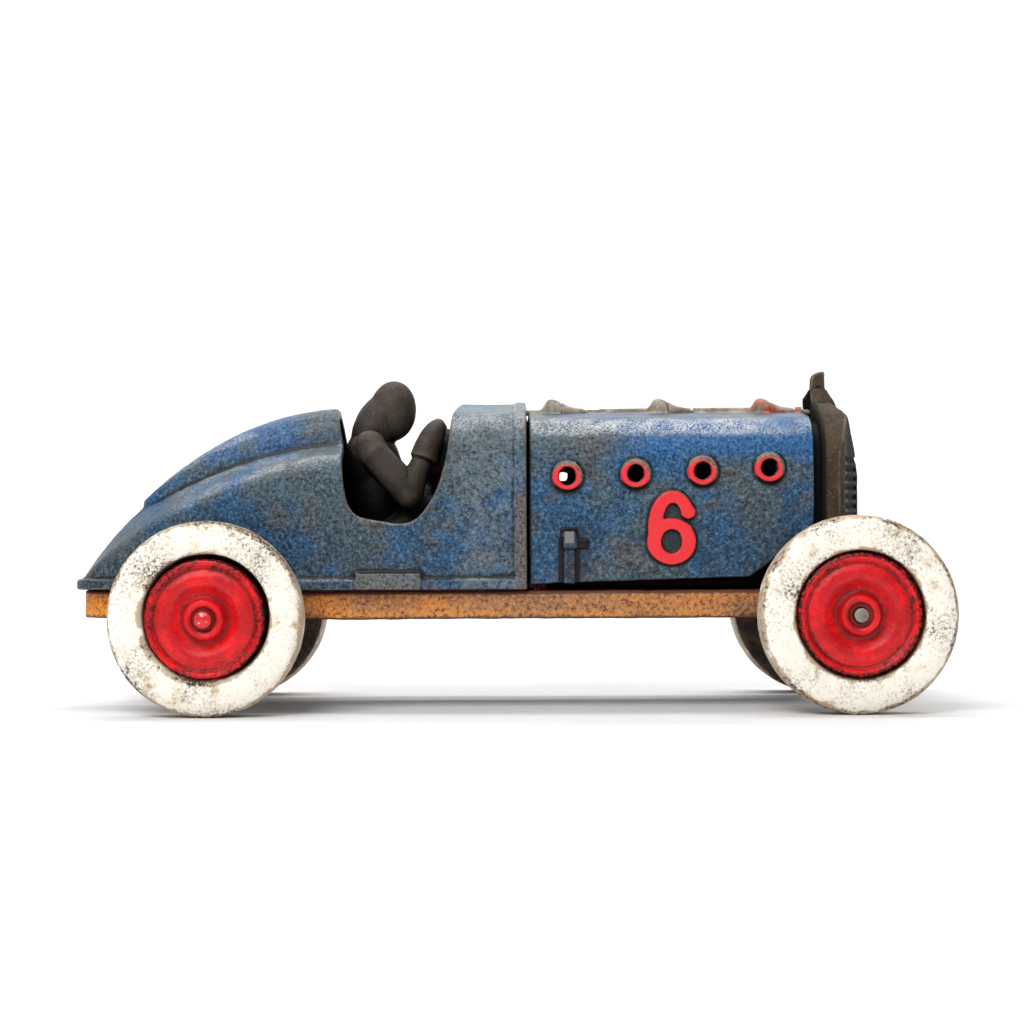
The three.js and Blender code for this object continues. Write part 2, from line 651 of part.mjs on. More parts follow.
function driverCasting() {
  const base = CHASSIS_TOP + GAP;
  const head = ball([-29.9, 0, 82], [6.6, 6.2, 8.6], 8);
  const nape = ball([-34.2, 0, 77.6], [6.2, 6.6, 10.2], 24);
  const back = ball([-37.4, 0, 67.6], [5.9, 11, 8.4], -6);
  const chest = ball([-34.8, 0, 61], [8, 9.6, 16], 2);
  const hips = ball([-34, 0, 45], [8.6, 10.5, 10], 0, 10);
  const seat = box(-42, -15, -9, 9, base, 43);
  const arms = [-1, 1].map((side) => {
    const arm = limb(
      [
        [-35.6, side * 9, 72.4],
        [-34.3, side * 10.8, 69.8],
        [-25, side * 11.2, 59],
        [-21.6, side * 10.8, 67],
      ],
      [4.1, 4.1, 4.2, 3],
    );
    const cuff = rod([-20.9, side * 10.6, 68.4], [-16, side * 9.4, 78], 3.7, 1.9, 12);
    return join(arm, cuff, ball([-16, side * 9.4, 78], [1.9, 2.6, 1.9], 0, 8));
  });
  const legs = [-1, 1].map((side) =>
    limb(
      [
        [-33, side * 5, 46],
        [-18, side * 5.2, 54.5],
        [-16.6, side * 5.2, 44],
      ],
      [5.4, 5, 4.6],
    ),
  );
  // The steering wheel is cast solid with the hands and stands on a short column.
  const lean = THREE.MathUtils.degToRad(11);
  const wheelAt = (along, up) => [
    -16.2 + along * Math.cos(lean) + up * Math.sin(lean),
    0,
    68.3 - along * Math.sin(lean) + up * Math.cos(lean),
  ];
  const wheel = rod(wheelAt(-1.4, 0), wheelAt(1.4, 0), 9.8, 9.8, 22);
  const column = rod(wheelAt(-1, -2), [-16, 0, 46], 3.4, 4.4, 10);
  const hole = rod([DRIVER_RIVET_X, 0, 20], [DRIVER_RIVET_X, 0, 41], SCREW_HOLE_R, SCREW_HOLE_R, 12);
  return cut(join(head, nape, back, chest, hips, seat, ...arms, ...legs, wheel, column), hole);
}

// ---- Wheels and axles, drawn for the left side ----
const tyreOutline = [
  [TYRE_BORE_R, TYRE_INNER_Y],
  [23.8, TYRE_INNER_Y],
  [TYRE_R - 0.4, 33.4],
  [TYRE_R, 35],
  [TYRE_R, 40.8],
  [TYRE_R - 0.5, 42.4],
  [23.6, 43.7],
  [20, TYRE_OUTER_Y],
  [TYRE_BORE_R, 43.4],
  [TYRE_BORE_R, TYRE_INNER_Y],
];
const discOutline = [
  [AXLE_HOLE_R, HUB_INNER_Y],
  [4.6, HUB_INNER_Y],
  [5, 38],
  [14.2, 37.4],
  [14.2, 33],
  [DISC_R, 33],
  [DISC_R, 42.3],
  [14.8, 43],
  [13.6, 42.3],
  [12.8, 42.8],
  [9.5, 41.3],
  [7.4, 42.3],
  [5.7, 41.9],
  [5.2, 43.8],
  [4.4, HUB_OUTER_Y],
  [AXLE_HOLE_R, HUB_OUTER_Y],
  [AXLE_HOLE_R, HUB_INNER_Y],
];

// An outline with its radii scaled, except for the axle's hole.
const scaled = (outline, k) => outline.map(([r, y]) => [r === AXLE_HOLE_R ? r : r * k, y]);

function axle() {
  const end = HUB_OUTER_Y + GAP;
  const outline = [
    [0, -end - AXLE_HEAD_LENGTH],
    [AXLE_HEAD_R - 0.7, -end - AXLE_HEAD_LENGTH],
    [AXLE_HEAD_R, -end],
    [AXLE_R, -end],
    [AXLE_R, end],
    [AXLE_HEAD_R, end],
    [AXLE_HEAD_R - 0.7, end + AXLE_HEAD_LENGTH],
    [0, end + AXLE_HEAD_LENGTH],
  ];
  return turned(outline, 16);
}

// ---- The assembly ----
const car = new THREE.Group();

function add(name, made, material, place = [0, 0, 0], turn = 0) {
  const mesh = new THREE.Mesh(geometryOf(made), material);
  mesh.name = name;
  mesh.position.set(...place);
  mesh.rotation.z = turn;
  car.add(mesh);
}

const body = bodyCasting();
add("body_right", bodyHalf(body, -1), bluePaint);
add("body_left", bodyHalf(body, 1), bluePaint);
add("chassis", chassisCasting(), orangePaint);
add("engine", engineCasting(), goldPaint);
add("bonnet_door_right", bonnetDoor(-1), bluePaint);
add("bonnet_door_left", bonnetDoor(1), bluePaint);
add("hinge_rod", rod([3.6, 0, HINGE_Z], [89.6, 0, HINGE_Z], ROD_R, ROD_R, 12), steel);
add("radiator", radiatorCasting(), bareIron);
add("driver", driverCasting(), driverPaint);

const ENDS = {
  front: { ...FRONT_AXLE, scale: FRONT_WHEEL_SCALE },
  rear: { ...REAR_AXLE, scale: 1 },
};
for (const [end, { x, z, scale }] of Object.entries(ENDS)) {
  const tyre = turned(scaled(tyreOutline, scale), 36);
  const disc = turned(scaled(discOutline, scale), 30);
  add(`axle_${end}`, axle(), steel, [x, 0, z]);
  for (const [hand, turn] of Object.entries({ right: Math.PI, left: 0 })) {
    add(`tyre_${end}_${hand}`, tyre, whitePaint, [x, 0, z], turn);
    add(`wheel_disc_${end}_${hand}`, disc, redPaint, [x, 0, z], turn);
  }
}

BODY_SCREWS.forEach(([x, y], i) => {
  const end = i === 0 ? "front" : "rear";
  add(`body_screw_${end}_right`, screw(41), steel, [x, -y, 0]);
  add(`body_screw_${end}_left`, screw(41), steel, [x, y, 0]);
});
add("radiator_screw", screw(41), steel, [RADIATOR_SCREW_X, 0, 0]);
add("driver_rivet", rivet(40), steel, [DRIVER_RIVET_X, 0, 0]);
ENGINE_RIVETS.forEach((x, i) => {
  add(`engine_rivet_${i === 0 ? "rear" : "front"}`, rivet(40), steel, [x, 0, 0]);
});

export default car;
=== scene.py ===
"""Looks of a cast-iron toy racing car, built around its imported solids.

Shapes are drawn in millimetres and turned into metres when their mesh is made. +X is the way the car
faces, +Y its left side and +Z up. "side" is -1 for the right side, which the camera sees, and 1 for
the left.
"""

import math

import bmesh
import bpy
import numpy as np
from mathutils import Matrix, Vector


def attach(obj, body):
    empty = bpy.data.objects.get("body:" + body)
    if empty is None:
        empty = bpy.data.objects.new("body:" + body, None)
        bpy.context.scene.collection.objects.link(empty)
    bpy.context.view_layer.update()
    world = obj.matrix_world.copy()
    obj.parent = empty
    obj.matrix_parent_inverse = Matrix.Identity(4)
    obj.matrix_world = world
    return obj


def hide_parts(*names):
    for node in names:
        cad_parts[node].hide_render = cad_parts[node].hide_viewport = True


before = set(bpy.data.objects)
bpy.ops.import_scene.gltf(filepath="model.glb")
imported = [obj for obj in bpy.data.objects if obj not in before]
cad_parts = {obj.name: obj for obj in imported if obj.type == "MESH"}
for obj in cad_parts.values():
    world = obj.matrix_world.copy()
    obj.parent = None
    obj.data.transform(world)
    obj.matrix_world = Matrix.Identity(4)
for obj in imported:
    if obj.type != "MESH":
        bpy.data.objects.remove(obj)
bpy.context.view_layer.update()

MM = 0.001
SIDES = {"right": -1, "left": 1}

# ---- Dimensions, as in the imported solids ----
AXLES = {"front": (94.4, 26.2), "rear": (-77.3, 25.8)}
CHASSIS_BOTTOM, CHASSIS_TOP = 24.8, 32.4
BODY_BASE = 32.7
BODY_TAIL_X = -117.0
BODY_HALF_WIDTH = 26.5
BODY_WALL = 2.4
TAIL_CORNER_R = 6
DECK_END_X = -42  # where the tail's deck ends, behind the cockpit
SPINE_REAR_X = -99.8
SPINE_HALF_WIDTH = 10.4
AXLE_R = 1.75
FASTENER_HEAD_Z = 30.1
TAPER_START_X = -40
TAIL_HALF_WIDTH = 9
COWL_FRONT_X = 7.5
COWL_TOP = 84
COWL_SHOULDER_Z = 79.6
HINGE_Z = 81.4
KNUCKLE_X = (14.4, 44.3, 72.9)
DOOR_REAR_X, DOOR_FRONT_X = 8.1, 84.8
DOOR_HALF_WIDTH = 25.7
DOOR_WALL = 2.2
DOOR_PEAK = 81.5
DOOR_SHOULDER_Z = 78.4
PORTS = ((18.4, 63.1), (36.8, 63.7), (54.8, 64.3), (72.8, 65.1))
NUMERAL = (46.3, 49.1)


# ---- Camera and light ----
def aim(obj, target, roll=0):
    """Turns an object so that its -Z points at a target."""
    look = (Vector(target) - obj.location).to_track_quat("-Z", "Y").to_matrix()
    obj.rotation_euler = (look @ Matrix.Rotation(roll, 3, "Z")).to_euler()


def add_camera():
    data = bpy.data.cameras.new("camera")
    data.lens = 77.6
    data.sensor_width = 36
    data.clip_start = 0.01
    camera = bpy.data.objects.new("camera", data)
    bpy.context.scene.collection.objects.link(camera)
    camera.location = (0.00236, -0.6197, 0.0522)
    aim(camera, (0.00348, 0, 0.05366), math.radians(-0.27))
    bpy.context.scene.camera = camera


def add_area_light(name, place, target, size, power, colour=(1, 1, 1)):
    data = bpy.data.lights.new(name, "AREA")
    data.shape = "RECTANGLE"
    data.size, data.size_y = size
    data.energy = power
    data.color = colour
    light = bpy.data.objects.new(name, data)
    bpy.context.scene.collection.objects.link(light)
    light.location = place
    aim(light, target)


def add_studio():
    add_area_light("key", (-0.3, -0.65, 0.75), (0, 0, 0.05), (0.6, 0.4), 6.5)
    add_area_light("overhead", (0, 0.08, 0.8), (0, 0, 0.05), (1.0, 0.12), 3.2)
    add_area_light("backdrop_light", (0, 0.7, 1.3), (0, 1.5, 0.2), (2.4, 0.3), 22.0)
    world = bpy.data.worlds.new("studio")
    world.use_nodes = True
    background = world.node_tree.nodes["Background"]
    background.inputs["Color"].default_value = (1, 1, 1, 1)
    background.inputs["Strength"].default_value = 0.4
    bpy.context.scene.world = world
    bpy.context.scene.view_settings.view_transform = "Standard"

    # A paper floor that curves up behind the car.
    bend = [(1000 + 600 * math.sin(a), 600 - 600 * math.cos(a)) for a in np.linspace(0, math.pi / 2, 24)]
    path = [(-3000, 0), *bend, (1600, 2400)]
    verts = [(x, y, z) for y, z in path for x in (-3500, 3500)]
    faces = [(2 * i, 2 * i + 1, 2 * i + 3, 2 * i + 2) for i in range(len(path) - 1)]
    floor = solid(verts, faces)
    look = Look("floor_paper", roughness=0.9)
    grain = look.noise(9, detail=3)
    look.colour(look.blend(grain, (0.79, 0.79, 0.79), (0.81, 0.81, 0.81)))
    floor.name = "floor"
    floor.data.polygons.foreach_set("use_smooth", [True] * len(faces))
    floor.data.materials.append(look.material)


# ---- Material nodes ----
class Look:
    """A procedural material. Sizes are in millimetres, and colours are linear."""

    def __init__(self, name, roughness=0.5, metallic=0.0, specular=0.5):
        self.material = bpy.data.materials.new(name)
        self.material.use_nodes = True
        self.tree = self.material.node_tree
        self.shader = self.tree.nodes["Principled BSDF"]
        self.shader.inputs["Roughness"].default_value = roughness
        self.shader.inputs["Metallic"].default_value = metallic
        self.shader.inputs["Specular IOR Level"].default_value = specular
        coordinates = self.node("ShaderNodeTexCoord")
        self.place = coordinates.outputs["Object"]
        self.facing = coordinates.outputs["Normal"]

    def node(self, kind, **settings):
        made = self.tree.nodes.new(kind)
        for key, value in settings.items():
            setattr(made, key, value)
        return made

    def feed(self, socket, value):
        if isinstance(value, bpy.types.NodeSocket):
            self.tree.links.new(value, socket)
        elif isinstance(value, tuple) and len(value) == 3 and socket.type == "RGBA":
            socket.default_value = (*value, 1)
        else:
            socket.default_value = value

    def noise(self, size, detail=4.0, roughness=0.55, stretch=(1, 1, 1), seed=0.0):
        """Fractal noise from 0 to 1, with features about size across."""
        mapping = self.node("ShaderNodeMapping")
        self.feed(mapping.inputs["Vector"], self.place)
        mapping.inputs["Scale"].default_value = stretch
        mapping.inputs["Location"].default_value = (seed, seed * 0.7, seed * 0.3)
        made = self.node("ShaderNodeTexNoise")
        self.feed(made.inputs["Vector"], mapping.outputs["Vector"])
        made.inputs["Scale"].default_value = 1 / (size * MM)
        made.inputs["Detail"].default_value = detail
        made.inputs["Roughness"].default_value = roughness
        return made.outputs["Fac"]

    def ramp(self, value, low, high):
        """0 below low, 1 above high, and a smooth step between."""
        made = self.node("ShaderNodeMapRange", interpolation_type="SMOOTHSTEP")
        self.feed(made.inputs["Value"], value)
        reverse = low > high
        made.inputs["From Min"].default_value = min(low, high)
        made.inputs["From Max"].default_value = max(low, high)
        made.inputs["To Min"].default_value = 1 if reverse else 0
        made.inputs["To Max"].default_value = 0 if reverse else 1
        return made.outputs["Result"]

    def math(self, operation, a, b=0.0):
        made = self.node("ShaderNodeMath", operation=operation)
        self.feed(made.inputs[0], a)
        self.feed(made.inputs[1], b)
        return made.outputs[0]

    def both(self, *masks):
        result = masks[0]
        for mask in masks[1:]:
            result = self.math("MULTIPLY", result, mask)
        return result

    def either(self, *masks):
        result = masks[0]
        for mask in masks[1:]:
            result = self.math("MAXIMUM", result, mask)
        return result

    def blend(self, factor, a, b):
        made = self.node("ShaderNodeMix", data_type="RGBA")
        self.feed(made.inputs["Factor"], factor)
        self.feed(made.inputs[6], a)
        self.feed(made.inputs[7], b)
        return made.outputs[2]

    def tint(self, base, mask, amount, code):
        """Covers a share of the base with a colour where the mask is 1."""
        return self.blend(self.math("MULTIPLY", mask, amount), base, rgb(code))

    def axis(self, name):
        """The object coordinate along X, Y or Z, in millimetres."""
        split = self.node("ShaderNodeSeparateXYZ")
        self.feed(split.inputs[0], self.place)
        return self.math("MULTIPLY", split.outputs[name], 1 / MM)

    def upward(self):
        """How far the surface faces up, from -1 to 1."""
        split = self.node("ShaderNodeSeparateXYZ")
        self.feed(split.inputs[0], self.facing)
        return split.outputs["Z"]

    def attribute(self, name):
        return self.node("ShaderNodeAttribute", attribute_name=name).outputs["Fac"]

    def colour(self, value):
        self.feed(self.shader.inputs["Base Color"], value)

    def roughness(self, value):
        self.feed(self.shader.inputs["Roughness"], value)

    def bump(self, height, depth):
        """Adds relief of the given depth under what is there already."""
        made = self.node("ShaderNodeBump")
        made.inputs["Strength"].default_value = 1.0
        made.inputs["Distance"].default_value = depth * MM
        self.feed(made.inputs["Height"], height)
        normal = self.shader.inputs["Normal"]
        if normal.is_linked:
            self.feed(made.inputs["Normal"], normal.links[0].from_socket)
        self.feed(normal, made.outputs["Normal"])


def rgb(code):
    """A linear colour from an sRGB hex code."""
    parts = [int(code[i : i + 2], 16) / 255 for i in (0, 2, 4)]
    return tuple(c / 12.92 if c <= 0.04045 else ((c + 0.055) / 1.055) ** 2.4 for c in parts)


# ---- Mesh helpers ----
def solid(verts, faces, name="blank"):
    """An object whose faces all point out."""
    mesh = bpy.data.meshes.new(name)
    mesh.from_pydata((np.asarray(verts, float) * MM).tolist(), [], [list(map(int, f)) for f in faces])
    work = bmesh.new()
    work.from_mesh(mesh)
    bmesh.ops.remove_doubles(work, verts=work.verts, dist=1e-7)
    bmesh.ops.recalc_face_normals(work, faces=work.faces)
    work.to_mesh(mesh)
    work.free()
    obj = bpy.data.objects.new(name, mesh)
    bpy.context.scene.collection.objects.link(obj)
    return obj


def loft(rings):
    """Skins closed rings of equal length and closes both ends."""
    rings = np.asarray(rings, float)
    count, around, _ = rings.shape
    faces = []
    for i in range(count - 1):
        for j in range(around):
            a = i * around + j
            b = i * around + (j + 1) % around
            faces.append((a, b, b + around, a + around))
    faces.append(range(around - 1, -1, -1))
    faces.append(range((count - 1) * around, count * around))
    return solid(rings.reshape(-1, 3), faces)


def prism(points, axis, low, high):
    """A flat outline, drawn across the other two axes, extruded along one axis."""
    flat = np.asarray(points, float)
    return loft([np.insert(flat, axis, at, axis=1) for at in (low, high)])


def block(x0, x1, y0, y1, z0, z1):
    return prism([(x0, y0), (x1, y0), (x1, y1), (x0, y1)], 2, z0, z1)


def turned(outline, centre=(0, 0, 0), axis=1, segments=64, closed=False):
    """Turns a [radius, distance] outline round an axis. A closed outline makes a ring."""
    outline = np.asarray(outline, float)
    across = [i for i in range(3) if i != axis]
    angles = np.linspace(0, 2 * np.pi, segments, endpoint=False)
    verts = np.zeros((segments, len(outline), 3))
    verts[..., axis] = outline[:, 1]
    verts[..., across[0]] = outline[:, 0] * np.cos(angles)[:, None]
    verts[..., across[1]] = outline[:, 0] * np.sin(angles)[:, None]
    count = len(outline)
    faces = []
    for i in range(segments):
        for j in range(count if closed else count - 1):
            a, b = i * count + j, i * count + (j + 1) % count
            c, d = (i + 1) % segments * count + (j + 1) % count, (i + 1) % segments * count + j
            faces.append((a, b, c, d))
    return solid(verts.reshape(-1, 3) + np.asarray(centre, float), faces)


def tube(start, end, r0, r1=None, segments=32):
    """A straight bar from one point to another, with its own radius at each end."""
    start, end = Vector(start), Vector(end)
    turn = (end - start).to_track_quat("Z", "Y").to_matrix()
    angles = np.linspace(0, 2 * np.pi, segments, endpoint=False)
    rings = []
    for at, radius in ((start, r0), (end, r0 if r1 is None else r1)):
        circle = [Vector((radius * math.cos(a), radius * math.sin(a), 0)) for a in angles]
        rings.append([at + turn @ point for point in circle])
    return loft(rings)


def egg(centre, radii, tilt=0, segments=40):
    """An ellipsoid, tilted about Y by an angle in degrees."""
    angles = np.linspace(-np.pi / 2, np.pi / 2, segments // 2)
    obj = turned([(np.cos(a), np.sin(a)) for a in angles], axis=2, segments=segments)
    turn = Matrix.Rotation(math.radians(tilt), 4, "Y")
    size = Matrix.Diagonal((*radii, 1))
    obj.data.transform(Matrix.Translation(Vector(centre) * MM) @ turn @ size)
    return obj


def settle(obj):
    """Applies an object's modifiers."""
    graph = bpy.context.evaluated_depsgraph_get()
    mesh = bpy.data.meshes.new_from_object(obj.evaluated_get(graph))
    obj.modifiers.clear()
    obj.data = mesh
    return obj


def combine(target, tools, operation):
    for tool in tools:
        change = target.modifiers.new("combine", "BOOLEAN")
        change.operation = operation
        change.solver = "MANIFOLD"
        change.object = tool
    settle(target)
    for tool in tools:
        bpy.data.objects.remove(tool)
    return target


def join(target, *tools):
    return combine(target, tools, "UNION")


def cut(target, *tools):
    return combine(target, tools, "DIFFERENCE")


def overlap(target, *tools):
    return combine(target, tools, "INTERSECT")


def copy(obj):
    twin = bpy.data.objects.new(obj.name, obj.data.copy())
    bpy.context.scene.collection.objects.link(twin)
    return twin


def clouds(size):
    texture = bpy.data.textures.new("clouds", "CLOUDS")
    texture.noise_scale = size * MM
    texture.noise_depth = 2
    return texture


LUMP_SIZE = 6
GRAIN_SIZE = 1.6


def roughen(obj, reliefs):
    """Displaces a surface by cloudy noise of each size, in millimetres, and strength."""
    for size, strength in reliefs:
        relief = obj.modifiers.new("relief", "DISPLACE")
        relief.texture = clouds(size)
        relief.texture_coords = "LOCAL"
        relief.strength = strength * MM
        relief.mid_level = 0.5
    return settle(obj)


def cast(obj, voxel=0.4, soften=4, lumps=0.28, grain=0.1):
    """Gives a sharp blank the soft edges and uneven skin of an iron casting."""
    remesh = obj.modifiers.new("remesh", "REMESH")
    remesh.mode = "VOXEL"
    remesh.voxel_size = voxel * MM
    remesh.use_smooth_shade = True
    smooth = obj.modifiers.new("soften", "SMOOTH")
    smooth.factor = 0.5
    smooth.iterations = soften
    return roughen(obj, ((LUMP_SIZE, lumps), (GRAIN_SIZE, grain)))


def places(mesh):
    """The points of a mesh, in millimetres."""
    place = np.empty(len(mesh.vertices) * 3)
    mesh.vertices.foreach_get("co", place)
    return place.reshape(-1, 3) / MM


def mark(obj, name, values):
    layer = obj.data.attributes.new(name, "FLOAT", "POINT")
    layer.data.foreach_set("value", np.asarray(values, np.float32))


def mark_surface(obj, axis_at=None, passes=14):
    """Stores per-point numbers that the materials read.

    "edge" is how far a point stands proud of its surroundings, in millimetres. "inside" is 1 on
    surfaces that face into the casting, and "radius" is the distance from an axle at axis_at.
    """
    mesh = obj.data
    count = len(mesh.vertices)
    place = places(mesh)
    normal = np.empty(count * 3)
    mesh.vertex_normals.foreach_get("vector", normal)
    normal = normal.reshape(-1, 3)
    ends = np.empty(len(mesh.edges) * 2, int)
    mesh.edges.foreach_get("vertices", ends)
    ends = ends.reshape(-1, 2)
    degree = np.maximum(np.bincount(ends.ravel(), minlength=count), 1)
    even = place.copy()
    for _ in range(passes):
        for k in range(3):
            total = np.bincount(ends[:, 0], even[ends[:, 1], k], count)
            total += np.bincount(ends[:, 1], even[ends[:, 0], k], count)
            even[:, k] = total / degree
    mark(obj, "edge", ((place - even) * normal).sum(axis=1))
    inward = np.maximum(-normal[:, 1] * np.sign(place[:, 1]) - 0.15, -normal[:, 2] - 0.35)
    mark(obj, "inside", np.clip(inward * 5, 0, 1))
    if axis_at:
        mark(obj, "radius", np.hypot(place[:, 0] - axis_at[0], place[:, 2] - axis_at[1]))


def show(obj, name, look, body, nodes):
    """Hands a finished piece over: its name, material, body and CAD nodes."""
    obj.name = name
    obj.data.name = name
    obj.data.materials.clear()
    obj.data.materials.append(look.material)
    obj.data.polygons.foreach_set("use_smooth", [True] * len(obj.data.polygons))
    obj.data.update()
    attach(obj, body)
    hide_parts(*nodes)


# ---- Curves ----
def bezier(*points, steps=400):
    t = np.linspace(0, 1, steps)[:, None]
    a, b, c, d = (np.asarray(p, float) for p in points)
    return (1 - t) ** 3 * a + 3 * (1 - t) ** 2 * t * b + 3 * (1 - t) * t * t * c + t**3 * d


def through(points, steps=8):
    """A smooth path through points."""
    points = np.asarray(points, float)
    padded = np.vstack([2 * points[0] - points[1], points, 2 * points[-1] - points[-2]])
    path = []
    for i in range(1, len(padded) - 2):
        p0, p1, p2, p3 = padded[i - 1 : i + 3]
        for t in np.linspace(0, 1, steps, endpoint=False):
            square = (2 * p0 - 5 * p1 + 4 * p2 - p3) * t**2
            cube = (3 * p1 - p0 - 3 * p2 + p3) * t**3
            path.append(0.5 * (2 * p1 + (p2 - p0) * t + square + cube))
    return np.array([*path, padded[-2]])


def smoothstep(a, b, x):
    t = min(1, max(0, (x - a) / (b - a)))
    return t * t * (3 - 2 * t)


def mix(a, b, t):
    return a + (b - a) * t


DECK = bezier((DECK_END_X, 75.4), (-71.5, 75.4), (-100, 64), (BODY_TAIL_X, 35))
SHOULDER = bezier((DECK_END_X, 68.6), (-66, 68), (-97, 52), (BODY_TAIL_X, 34.5))
SPINE = bezier((DECK_END_X, 82.9), (-74, 82.9), (-103.5, 59.2), (BODY_TAIL_X, 35))


def height_at(line, x):
    return float(np.interp(x, line[::-1, 0], line[::-1, 1]))


# ---- Body ----
def half_width(x, grow=0.0):
    tail = BODY_TAIL_X - grow
    t = max(0, (TAPER_START_X - x) / (TAPER_START_X - tail))
    taper = BODY_HALF_WIDTH + grow - (BODY_HALF_WIDTH - TAIL_HALF_WIDTH) * t**1.9
    past = max(0, min(1, (tail + TAIL_CORNER_R - x) / TAIL_CORNER_R))
    return taper - TAIL_CORNER_R * (1 - math.sqrt(1 - past * past))


def body_section(x, grow, base):
    """One cross-section. The tail's section turns into the cowl's across the cockpit."""
    cowl = smoothstep(-36, -20, x)
    back = max(BODY_TAIL_X, x + 0.8 * grow)
    width = half_width(max(x, BODY_TAIL_X - grow), grow)
    top = np.array((0, mix(height_at(DECK, back), COWL_TOP, cowl) + 0.8 * grow))
    shoulder = mix(height_at(SHOULDER, back), COWL_SHOULDER_Z, cowl) + 0.8 * grow
    corner = np.array((width * mix(0.93, 0.994, cowl), max(shoulder, BODY_BASE + 0.6)))
    foot = np.array((width, base))
    setback = min(mix(4, 12, cowl), 0.4 * corner[0], 0.45 * (corner[1] - BODY_BASE))

    def towards(to):
        d = np.linalg.norm(to - corner)
        return corner + (to - corner) * min(setback, 0.9 * d) / d

    side, deck = towards(foot), towards(top)
    t = np.linspace(0, 1, 15)[:, None]
    curve = (1 - t) ** 2 * side + 2 * (1 - t) * t * corner + t * t * deck
    half = np.vstack([foot, curve, top])
    ring = np.vstack([half, half[-2::-1] * (-1, 1)])
    return np.insert(ring, 0, x, axis=1)


def body_form(grow, base, x_front):
    tail = BODY_TAIL_X - grow
    corner = [tail + TAIL_CORNER_R * (1 - math.cos(a)) for a in np.linspace(0, math.pi / 2, 12)]
    stations = [*corner, *np.linspace(-110, -44, 58), *np.linspace(-42, -18, 12), x_front]
    return loft([body_section(x, grow, base) for x in stations])


def spine_form(grow, x_front, x_rear):
    """The head fairing that runs down the middle of the tail."""
    rings = []
    for x in np.linspace(x_rear, x_front, 50):
        t = min(1, max(0, (DECK_END_X - x) / 58))
        width = SPINE_HALF_WIDTH * (1 - t**2.2) ** 0.6 + 0.8 + grow
        top = height_at(SPINE, x) + grow
        foot = height_at(DECK, x) - 9
        angles = np.linspace(0, math.pi, 40)
        c, s = np.cos(angles), np.abs(np.sin(angles))
        y = width * np.sign(c) * np.abs(c) ** 0.62
        rings.append(np.column_stack([np.full(40, x), y, foot + (top - foot) * s**0.62]))
    return loft(rings)


def cockpit_mouth():
    rear = bezier((-42.7, 70), (-42.1, 60), (-41.7, 52.9), (-36.6, 52.1), steps=24)
    floor = bezier((-36.6, 52.1), (-33, 51.6), (-30, 50.6), (-26.5, 50.6), steps=12)
    front = bezier((-26.5, 50.6), (-20, 50.6), (-14.7, 60.5), (-13.2, 76), steps=24)
    lip = bezier((-13.2, 76), (-12.8, 81), (-11.8, 84.2), (-8.5, 84.7), steps=12)
    return [(-47.9, 100), *rear, *floor[1:], *front[1:], *lip[1:], (-8.5, 100)]


def body_blank():
    outside = body_form(0, BODY_BASE, COWL_FRONT_X)
    rim = overlap(body_form(0.6, BODY_BASE, COWL_FRONT_X), block(4.5, 8, -50, 50, 0, 100))
    foot = block(-130, 8, -50, 50, BODY_BASE, BODY_BASE + 2.8)
    bead = overlap(body_form(0.9, BODY_BASE, COWL_FRONT_X), foot)
    steps = [block(-38.7, -21.3, *sorted((s * 25, s * 28)), 32.8, 37.2) for s in SIDES.values()]
    join(outside, rim, bead, spine_form(0, DECK_END_X, SPINE_REAR_X), *steps)
    hollow = join(body_form(-BODY_WALL, 20, 4.4), spine_form(-BODY_WALL, -30, -94))
    mouth = overlap(body_form(-5.5, 20, 20), block(3, 30, -50, 50, -10, 100))
    return cut(outside, hollow, mouth, prism(cockpit_mouth(), 1, -60, 60))


def add_body(look):
    blank = body_blank()
    seat = block(1.5, COWL_FRONT_X, -4, 4, 74, COWL_TOP - 1)
    join(blank, seat, lip(4.4, COWL_FRONT_X + 1.8), lip(5.2, DOOR_REAR_X - 0.35, -1.4))
    for name, side in SIDES.items():
        half = overlap(copy(blank), block(-130, 20, *sorted((side * 0.15, side * 60)), 0, 100))
        cast(half, soften=8)
        mark_surface(half)
        show(half, f"body_casting_{name}", look, "car_body", [f"body_{name}"])
    bpy.data.objects.remove(blank)


# ---- Chassis ----
def chassis_plan(inset):
    tail = BODY_TAIL_X + inset
    edge = []
    for d in (0, 0.2, 0.6, 1.2, 2, 3, 6, 10, 16, 24, 32, 42, 52, 64, 78.9):
        edge.append((tail + d, max(1 + 0.1 * d, half_width(BODY_TAIL_X + d + 0.01) - inset)))
    front = 98 - inset
    edge += [(84, BODY_HALF_WIDTH - inset), (front - 4, 23.5 - inset), (front, 20 - inset)]
    return [*edge, *[(x, -y) for x, y in reversed(edge)]]


def add_chassis(look):
    tray = prism(chassis_plan(1.2), 2, CHASSIS_BOTTOM, CHASSIS_TOP)
    cut(tray, prism(chassis_plan(3.4), 2, 0, CHASSIS_TOP - 2))
    lugs = []
    for x, z in AXLES.values():
        outer = half_width(x) + 0.6 if x < 0 else 25
        for side in SIDES.values():
            lug = tube((x, side * 18.5, z), (x, side * outer, z), 5.4)
            lugs.append(cut(lug, block(x - 9, x + 9, -40, 40, CHASSIS_TOP - 1, 60)))
    join(tray, *lugs)
    cut(tray, *[tube((x, -40, z), (x, 40, z), 2.0) for x, z in AXLES.values()])
    join(tray, block(9.9, 12.8, -20, 20, CHASSIS_TOP - 1, 34.4))
    cast(tray, voxel=0.5, soften=3, lumps=0.35, grain=0.15)
    mark_surface(tray)
    show(tray, "chassis_casting", look, "car_body", ["chassis"])


